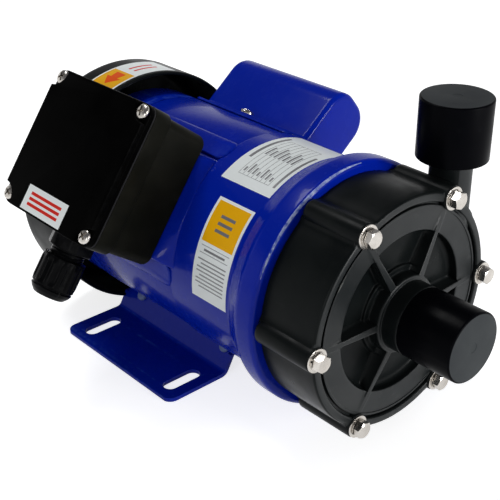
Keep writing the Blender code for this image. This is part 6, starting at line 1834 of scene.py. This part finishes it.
    def build_lid(self) -> None:
        """Make the lid, a plate with low corners under a raised panel, its four screws and its label."""
        low, high = self.heights("terminal_box_lid")
        plate_top = high - self.panel_rise
        shells = [
            block(self.centred, self.rim, low, plate_top, 0.3 * MM, 0.8 * MM),
            block(self.centred, self.notched(), plate_top - self.overlap, high, 0.1 * MM, 0.7 * MM),
        ]
        self.shop.piece("terminal_box_cover", shells, "lid_black", ("terminal_box_lid",), Slot.BOX)
        for index in range(1, 5):
            node, name = f"lid_screw_{index}", f"lid_pan_screw_{index}"
            self.shop.pan_screw(node, name, self.axes, self.screw_head, 0.9 * index)
        sheet = FlatSheet(axes=self.axes, across=self.label_across, along=self.label_along, height=high)
        bars = [sheet.mark((u, 0.12, u + 0.12, 0.88)) for u in (0.22, 0.44, 0.66)]
        self.shop.label("lid_label", sheet, {"red_ink": bars})

    def deck(self, back: float) -> Shell:
        """The saddle's raised middle: flat under the box, formed down to the shell along its front margin.

        Each path over the margin is the curve (1-q)^2 A + 2q(1-q) B + q^2 C from the flat, by the margin's
        start, to its foot on the shell, and a second such curve rolls its edge over. Towards both sides
        the paths sink by r (1 - cos a) while they move out by r sin a.

        Args:
            back: station of its rear end.

        Returns:
            The closed deck.
        """
        turn = np.linspace(0.0, 0.5 * math.pi, 5)[1:]
        out, sink = self.deck_roll * np.sin(turn), self.deck_roll * (1.0 - np.cos(turn))
        flat = np.linspace(self.deck_downhill, self.deck_uphill, 41)
        low, high = flat[0] - out, flat[-1] + out
        t = np.concatenate([low[-1:], low[::-1], flat, high, high[-1:]])
        drop = np.concatenate([[self.deck_side], sink[::-1], 0.0 * flat, sink, [self.deck_side]])
        foot = np.interp(t, self.margin_places, self.margin_feet)
        shore = np.sqrt((self.saddle_bore + self.saddle_sheet - 0.4 * MM) ** 2 - t**2)

        def at_top(station: float) -> Array:
            """The points of every path at one station of the flat."""
            return np.stack([0.0 * t + station, 0.0 * t + self.deck_height], axis=-1)

        def curve(a: Array, b: Array, c: Array, count: int) -> Array:
            """The curve from a by b to c on every path."""
            q = np.linspace(0.0, 1.0, count)[None, :, None]
            return (1 - q) ** 2 * a[:, None] + 2 * q * (1 - q) * b[:, None] + q**2 * c[:, None]

        start, bend = at_top(self.deck_front + 3.0 * MM), at_top(self.deck_front)
        end = np.stack([foot, shore], axis=-1)
        near = end + (bend - end) * 0.12
        below = end - (0.1 * MM, 1.0 * MM)
        last = below - (0.0, 3.0 * MM)
        margin = [curve(start, bend, near, 10), curve(near, end, below, 5)[:, 1:]]
        path = np.concatenate([at_top(back)[:, None], *margin, last[:, None]], axis=1)
        height = path[..., 1] - drop[:, None]
        floor = np.minimum(height.min(), self.deck_floor) - 1.0 * MM
        upper, lower = (self.axes.at(t[:, None], path[..., 0], level) for level in (height, floor))
        return slab(upper, lower)

    def build_saddle(self) -> None:
        """Make the saddle: the raised deck, the tongue uphill of it and the ear downhill of it."""
        back = self.shop.survey.stations("terminal_saddle")[1]
        shells = [self.deck(back)]
        for low, high, front in (self.tongue, self.ear):
            centre = (0.5 * (low + high), 0.5 * (front + back))
            outline = rectangle(high - low, back - front, self.flap_corner, 6, centre)
            shells.append(bent_sheet(self.axes, outline, self.saddle_bore, self.saddle_sheet))
        self.shop.piece("terminal_saddle_sheet", shells, "blue_gloss", ("terminal_saddle",), Slot.ENAMEL)

    def build_gland(self) -> None:
        """Make the gland, a rounded hexagon with a threaded neck, out of the box's downhill wall."""
        survey = self.shop.survey
        middle = survey.middle("gland_nut")
        origin = self.axes.at(0.0, middle[1], float(middle @ self.axes.out))
        axes = Axes.along(origin, -self.axes.across, self.axes.out)
        low, high = survey.span("gland_body", axes.out)
        angle = np.linspace(0.0, math.tau, 96, endpoint=False)
        hexagon = np.minimum(hexagon_radius(angle, self.hex_flats), 0.535 * self.hex_flats)
        length = self.hex_length
        steps = np.array([
            (0.0, 0.0), (0.96, 0.0), (1.0, 0.4 * MM), (1.0, length - 0.5 * MM), (0.95, length), (0.5, length),
            (0.0, length),
        ])
        box_side = 0.5 * self.width + 0.3 * MM
        hexed = tube(axes.polar(hexagon * steps[:, :1], angle, box_side + steps[:, 1:]), caps=False)
        neck, mouth = self.gland_thread, self.gland_mouth
        path = dense(np.array([(mouth, low), (neck, low), (neck, high), (mouth, high)]), 0.35 * MM)
        radius, along = path[:, :1], path[:, 1:]
        wave = self.gland_depth * np.abs(np.sin(math.pi * (along / self.gland_pitch - angle / math.tau)))
        threaded = radius > neck - 0.01 * MM
        barrel = tube(axes.polar(radius - wave * threaded, angle, along), ring=True)
        self.shop.piece("gland_hexagon_body", [hexed, barrel], "gland_black", ("gland_body",), Slot.BOX)
        self.build_nut(axes, *survey.span("gland_nut", axes.out))

    def build_nut(self, axes: Axes, low: float, high: float) -> None:
        """Make the dome nut: a profile turned about the gland, its barrel fluted between broad ribs.

        Args:
            axes: the gland's frame.
            low: where the nut starts.
            high: where its mouth is.
        """
        outer, bore = self.nut_radius, self.gland_thread + 0.3 * MM
        ring = outer - 0.8 * MM
        profile = filleted([
            (bore, low, 0.3 * MM), (outer, low, 0.8 * MM), (outer, high - 5.6 * MM, 0.3 * MM),
            (ring, high - 5.1 * MM, 0.2 * MM), (ring, high - 4.6 * MM, 0.2 * MM),
            (outer - 0.2 * MM, high - 4.1 * MM, 0.2 * MM), (0.89 * outer, high - 2.2 * MM, 1.2 * MM),
            (0.72 * outer, high, 0.9 * MM), (self.gland_mouth, high, 0.5 * MM),
            (self.gland_mouth, high - 2.0 * MM, 0.4 * MM), (bore, high - 5.0 * MM, 0.5 * MM),
        ], 5, closed=True)
        profile = dense(np.vstack([profile, profile[:1]]), 1.2 * MM)[:-1]
        angle = np.linspace(0.0, math.tau, 256, endpoint=False)
        radius, height = profile[:, :1], profile[:, 1:]
        wave = np.clip(2.4 * np.cos(self.nut_ribs * angle) - 0.4, -1.0, 1.0)
        rise = np.clip((height - low - 1.5 * MM) / (1.0 * MM), 0, 1)
        on_barrel = rise * np.clip((high - 6.5 * MM - height) / (1.0 * MM), 0, 1)
        outside = radius > bore + 0.5 * MM
        radius = radius + self.nut_relief * wave * on_barrel * outside
        nut = tube(axes.polar(radius, angle, height), ring=True)
        self.shop.piece("gland_dome_nut", [nut], "gland_black", ("gland_nut",), Slot.BOX)

    def build(self) -> None:
        """Make the whole terminal box."""
        self.build_base()
        self.build_lid()
        self.build_saddle()
        self.build_gland()


@dataclass
class Stand:
    """The two bent feet with their slots, and the screws in their walls."""

    shop: Workshop
    sheet: float = 2.4 * MM
    edge: float = 0.72 * MM
    outer: float = 69.5 * MM
    bend_at: float = 30.0 * MM
    bend_radius: float = 3.2 * MM
    lean: float = math.radians(61.0)
    corner: float = 6.0 * MM
    relief_front: float = 2.5 * MM
    relief_rear: float = 3.2 * MM
    relief_low: float = 11.6 * MM
    slot_length: float = 24.0 * MM
    slot_width: float = 8.6 * MM
    slot_centre: float = 51.5 * MM
    slot_front: float = 11.3 * MM
    slot_rear: float = 13.0 * MM
    wall_top: float = 59.3 * MM
    screw_radius: float = 2.0 * MM
    screw_head: float = 3.4 * MM
    screw_rise: float = 1.9 * MM

    def section(self, floor: float) -> Array:
        """Outline (x, z) of the right foot: flat sheet, bend, and the wall that leans in to the shell.

        Args:
            floor: height of what the foot stands on.

        Returns:
            Counter-clockwise points of shape (n, 2).
        """
        top = floor + self.sheet
        up = np.array([-math.cos(self.lean), math.sin(self.lean)])
        out = np.array([math.sin(self.lean), math.cos(self.lean)])
        face = np.array([self.bend_at, top])
        behind = face - out * self.sheet

        def tip(start: Array) -> Array:
            """Where a line from start up the wall meets the circle of the wall's top."""
            along = start @ up
            return start + up * (-along + math.sqrt(along**2 - start @ start + self.wall_top**2))

        under = behind + up * ((floor - behind[1]) / up[1])
        corners = np.array([under, (self.outer, floor), (self.outer, top), face, tip(face), tip(behind)])
        radii = [self.bend_radius + self.sheet, self.edge, self.edge, self.bend_radius, 0.3 * MM, 0.3 * MM]
        return rounded(corners, radii, 6)

    def build_foot(self, node: str, name: str, side: float) -> None:
        """Make one foot.

        Args:
            node: the solid that it stands for.
            name: the piece's name.
            side: 1 for the +X foot, -1 for the other.
        """
        survey = self.shop.survey
        front, back = survey.stations(node)
        floor = survey.heights(node)[0]
        outline = self.section(floor) * (side, 1.0)
        upright = Axes(np.zeros(3), ACROSS, UPWARD, ALONG)
        strip = prism(upright, outline if side > 0 else outline[::-1], front, back)
        foot = self.shop.piece(name, [strip], "blue_gloss", (node,), Slot.ENAMEL)
        self.shop.cut(foot, self.cutters(side, front, back, floor))
        self.shop.bevel(foot, 0.35 * MM)

    def cutters(self, side: float, front: float, back: float, floor: float) -> list[Shell]:
        """What is cut from a foot's strip: slots, rounded outer corners, and the wall's relieved ends.

        Args:
            side: 1 for the +X foot, -1 for the other.
            front: station of its front end.
            back: station of its rear end.
            floor: height of what it stands on.

        Returns:
            The closed cutters.
        """
        plan = Axes(np.zeros(3), ACROSS, ALONG, UPWARD)
        low, high = floor - 3.0 * MM, floor + 25.0 * MM
        shells = []
        for station in (front + self.slot_front, back - self.slot_rear):
            centre, end_radius = (side * self.slot_centre, station), 0.499 * self.slot_width
            outline = rectangle(self.slot_length, self.slot_width, end_radius, 10, centre)
            shells.append(block(plan, outline, low, high, 0.0, 0.0))
        start, far, clear = self.outer - self.corner, self.outer + 5.0 * MM, 5.0 * MM
        turn = np.radians(np.linspace(0.0, 90.0, 10))
        for station, sign in ((front, 1.0), (back, -1.0)):
            rise, past = station + sign * self.corner, station - sign * clear
            arc = self.corner * np.stack([np.cos(turn), -sign * np.sin(turn)], axis=1)
            outline = np.vstack([(start, rise) + arc, [(start, past), (far, past), (far, rise)]])
            shells.append(prism(plan, outline * (side, 1.0), low, high))
        inner, over = self.bend_at + self.sheet, 2.0 * MM
        ends = ((front - over, front + self.relief_front), (back - self.relief_rear, back + over))
        for start, stop in ends:
            outline = np.array([(0.0, start), (inner, start), (inner, stop), (0.0, stop)]) * (side, 1.0)
            shells.append(prism(plan, outline, floor + self.relief_low, 0.0))
        return shells

    def build_screw(self, index: int) -> None:
        """Make one painted screw in a foot's wall: a plain dome on a shank."""
        node, head_depth = f"foot_screw_{index}", 2.0 * MM
        points = self.shop.survey.points(node)
        side = math.copysign(1.0, self.shop.survey.middle(node)[0])
        out = np.array([side * math.sin(self.lean), 0.0, math.cos(self.lean)])
        reach = points @ out
        head = points[reach > reach.max() - head_depth - 0.3 * MM]
        centre = 0.5 * (head.min(axis=0) + head.max(axis=0))
        seat_height = reach.max() - head_depth
        seat = Axes.along(centre + out * (seat_height - centre @ out), out, ALONG)
        profile = filleted([
            (0.0, 0.0, 0.0), (self.screw_head, 0.0, 0.1 * MM), (self.screw_head, self.screw_rise, 1.3 * MM),
            (0.0, self.screw_rise, 0.0),
        ], 6)
        bar = shank(seat, self.screw_radius, float(reach.min() - seat_height))
        shells = [revolve(seat, profile, 32, ring=False), bar]
        self.shop.piece(f"foot_pan_screw_{index}", shells, ["screw_blue", "blue_gloss"], (node,), Slot.ENAMEL)

    def build(self) -> None:
        """Make both feet and their screws."""
        self.build_foot("foot_right", "right_foot_pressing", 1.0)
        self.build_foot("foot_left", "left_foot_pressing", -1.0)
        for index in range(1, 5):
            self.build_screw(index)


KEPT: dict[str, tuple[str, ...]] = {
    "moulded_black": ("rear_casing", "impeller", "fan"),
    "seal_black": ("casing_o_ring", "lid_gasket", "gland_seal"),
    "box_black": ("gland_locknut",),
    "blue_gloss": ("motor_cradle", "rear_end_shield"),
    "pressed_carbon": ("impeller_bush",),
    "white_ceramic": ("spindle",),
    "sintered_magnet": ("drive_magnet",),
    "stamped_iron": ("stator_core", "rotor"),
    "varnished_copper": ("stator_winding",),
    "turned_steel": ("motor_shaft", "front_bearing", "rear_bearing"),
    "drawn_can": ("capacitor",),
    "phenolic_tan": ("terminal_block",),
}


# The studio


@dataclass(frozen=True)
class Lamp:
    """One rectangular lamp: its place from the shaft frame's origin, its sides and its power in watts."""

    name: str
    place: tuple[float, float, float]
    size: Pair
    power: float


LAMPS = (
    Lamp("overhead", (-0.10, 0.55, 1.00), (0.40, 0.30), 4.4),
    Lamp("left_side", (-1.1, -0.3, 0.4), (0.25, 0.3), 2.0),
    Lamp("front_right", (0.35, -1.25, 0.20), (0.35, 0.4), 12.0),
)


@dataclass
class Studio:
    """Pale floor, soft lamps and the camera at the photograph's angle."""

    survey: Survey
    azimuth: float = math.radians(-41.868)
    elevation: float = math.radians(27.97)
    roll: float = math.radians(-0.126)
    distance: float = 415.313 * MM
    focal: float = 1056.05
    image_side: float = 500.0
    sensor: float = 36.0
    aim: tuple[float, float, float] = (-100.822 * MM, -1.2 * MM, 71.049 * MM)
    lamp_aim: tuple[float, float, float] = (0.0, 0.09, 0.0)
    floor_half: float = 6.0
    floor_gap: float = 0.2 * MM
    floor_depth: float = 10.0 * MM
    floor_lift: float = 0.74
    sky_levels: Pair = (0.26, 0.45)
    sky_top: Colour = (0.12, 0.12, 0.13)
    ambient: Colour = (0.23, 0.235, 0.245)

    def stand(self, thing: bpy.types.Object, place: Array, back: Array, roll: float = 0.0) -> None:
        """Stand a camera or lamp at a place, with back behind it and its up close to +Z, turned by roll."""
        right = np.cross(UPWARD, back)
        right /= np.linalg.norm(right)
        up = np.cross(back, right)
        cr, sr = math.cos(roll), math.sin(roll)
        turn = np.column_stack([cr * right + sr * up, cr * up - sr * right, back, self.survey.origin + place])
        thing.matrix_world = Matrix(np.vstack([turn, [0.0, 0.0, 0.0, 1.0]]).tolist())
        bpy.context.scene.collection.objects.link(thing)

    def build_camera(self) -> None:
        """Stand the camera off from its aim along its azimuth and elevation, turned by its roll."""
        ce, se = math.cos(self.elevation), math.sin(self.elevation)
        back = np.array([math.sin(self.azimuth) * ce, -math.cos(self.azimuth) * ce, se])
        data = bpy.data.cameras.new("camera")
        data.sensor_width = self.sensor
        data.lens = self.sensor * self.focal / self.image_side
        data.clip_start, data.clip_end = 0.01, 50.0
        camera = bpy.data.objects.new("camera", data)
        self.stand(camera, np.array(self.aim) + back * self.distance, back, self.roll)
        bpy.context.scene.camera = camera

    def build_floor(self) -> None:
        """Lay a wide pale floor that keeps the shadow and is lifted to near white for the camera."""
        span = np.linspace(-self.floor_half, self.floor_half, 5)
        u, v = np.meshgrid(span, span, indexing="ij")
        top = np.stack([u, v, 0.0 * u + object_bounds()[0].z - self.floor_gap], axis=-1)
        shell = slab(top, top - UPWARD * self.floor_depth)
        faces = [face.tolist() for face in np.split(shell.corners, np.cumsum(shell.sizes)[:-1])]
        mesh = bpy.data.meshes.new("floor")
        mesh.from_pydata(shell.points.tolist(), [], faces)
        floor = bpy.data.objects.new("floor", mesh)
        bpy.context.scene.collection.objects.link(floor)
        material = bpy.data.materials.new("pale_floor")
        material.use_nodes = True
        tree = Tree(material.node_tree)
        shader = material.node_tree.nodes["Principled BSDF"]
        tree.set(shader, {"Base Color": (0.80, 0.80, 0.80, 1.0), "Roughness": 0.9, "Specular IOR Level": 0.0})
        lift = tree.math("MULTIPLY", tree.seen(), self.floor_lift)
        glow = tree.add("ShaderNodeEmission", {"Color": (1.0, 1.0, 1.0, 1.0), "Strength": lift})
        total = tree.add("ShaderNodeAddShader", {0: shader.outputs[0], 1: glow.outputs[0]})
        tree.set(material.node_tree.nodes["Material Output"], {"Surface": total.outputs[0]})
        mesh.materials.append(material)
        floor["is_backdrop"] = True

    def build_world(self) -> None:
        """Soft grey light from all round, which is seen as white, and as dim high overhead."""
        world = bpy.data.worlds.new("studio")
        bpy.context.scene.world = world
        world.use_nodes = True
        tree = Tree(world.node_tree)
        direction = tree.add("ShaderNodeTexCoord").outputs["Generated"]
        height = tree.add("ShaderNodeSeparateXYZ", {0: direction}).outputs["Z"]
        sky = tree.blend(tree.ramp(height, *self.sky_levels), (1.0, 1.0, 1.0, 1.0), (*self.sky_top, 1.0))
        tone = tree.blend(tree.seen(), (*self.ambient, 1.0), sky)
        tree.set(world.node_tree.nodes["Background"], {"Color": tone, "Strength": 1.0})

    def build_lamp(self, lamp: Lamp) -> None:
        """Hang one lamp, aimed at the middle of the pump."""
        data = bpy.data.lights.new(lamp.name, "AREA")
        data.shape = "RECTANGLE"
        data.size, data.size_y = lamp.size
        data.energy = lamp.power
        back = np.array(lamp.place) - self.lamp_aim
        self.stand(bpy.data.objects.new(lamp.name, data), np.array(lamp.place), back / np.linalg.norm(back))

    def build(self) -> None:
        """Set up the camera, the floor, the lamps and the world."""
        self.build_camera()
        self.build_floor()
        self.build_world()
        for lamp in LAMPS:
            self.build_lamp(lamp)
        bpy.context.scene.view_settings.view_transform = "Standard"


def main() -> None:
    """Load the frame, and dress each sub-assembly in turn."""
    logging.basicConfig(level=logging.INFO, format="%(name)s: %(message)s")
    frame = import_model()
    survey = Survey(frame["nodes"])
    shop = Workshop(survey)
    for assembly in (PumpHead(shop), Motor(shop), CapacitorCover(shop), TerminalBox(shop), Stand(shop)):
        assembly.build()
    for finish, nodes in KEPT.items():
        for node in nodes:
            shop.paint(node, finish)
    Studio(survey).build()


if __name__ == "__main__":
    main()
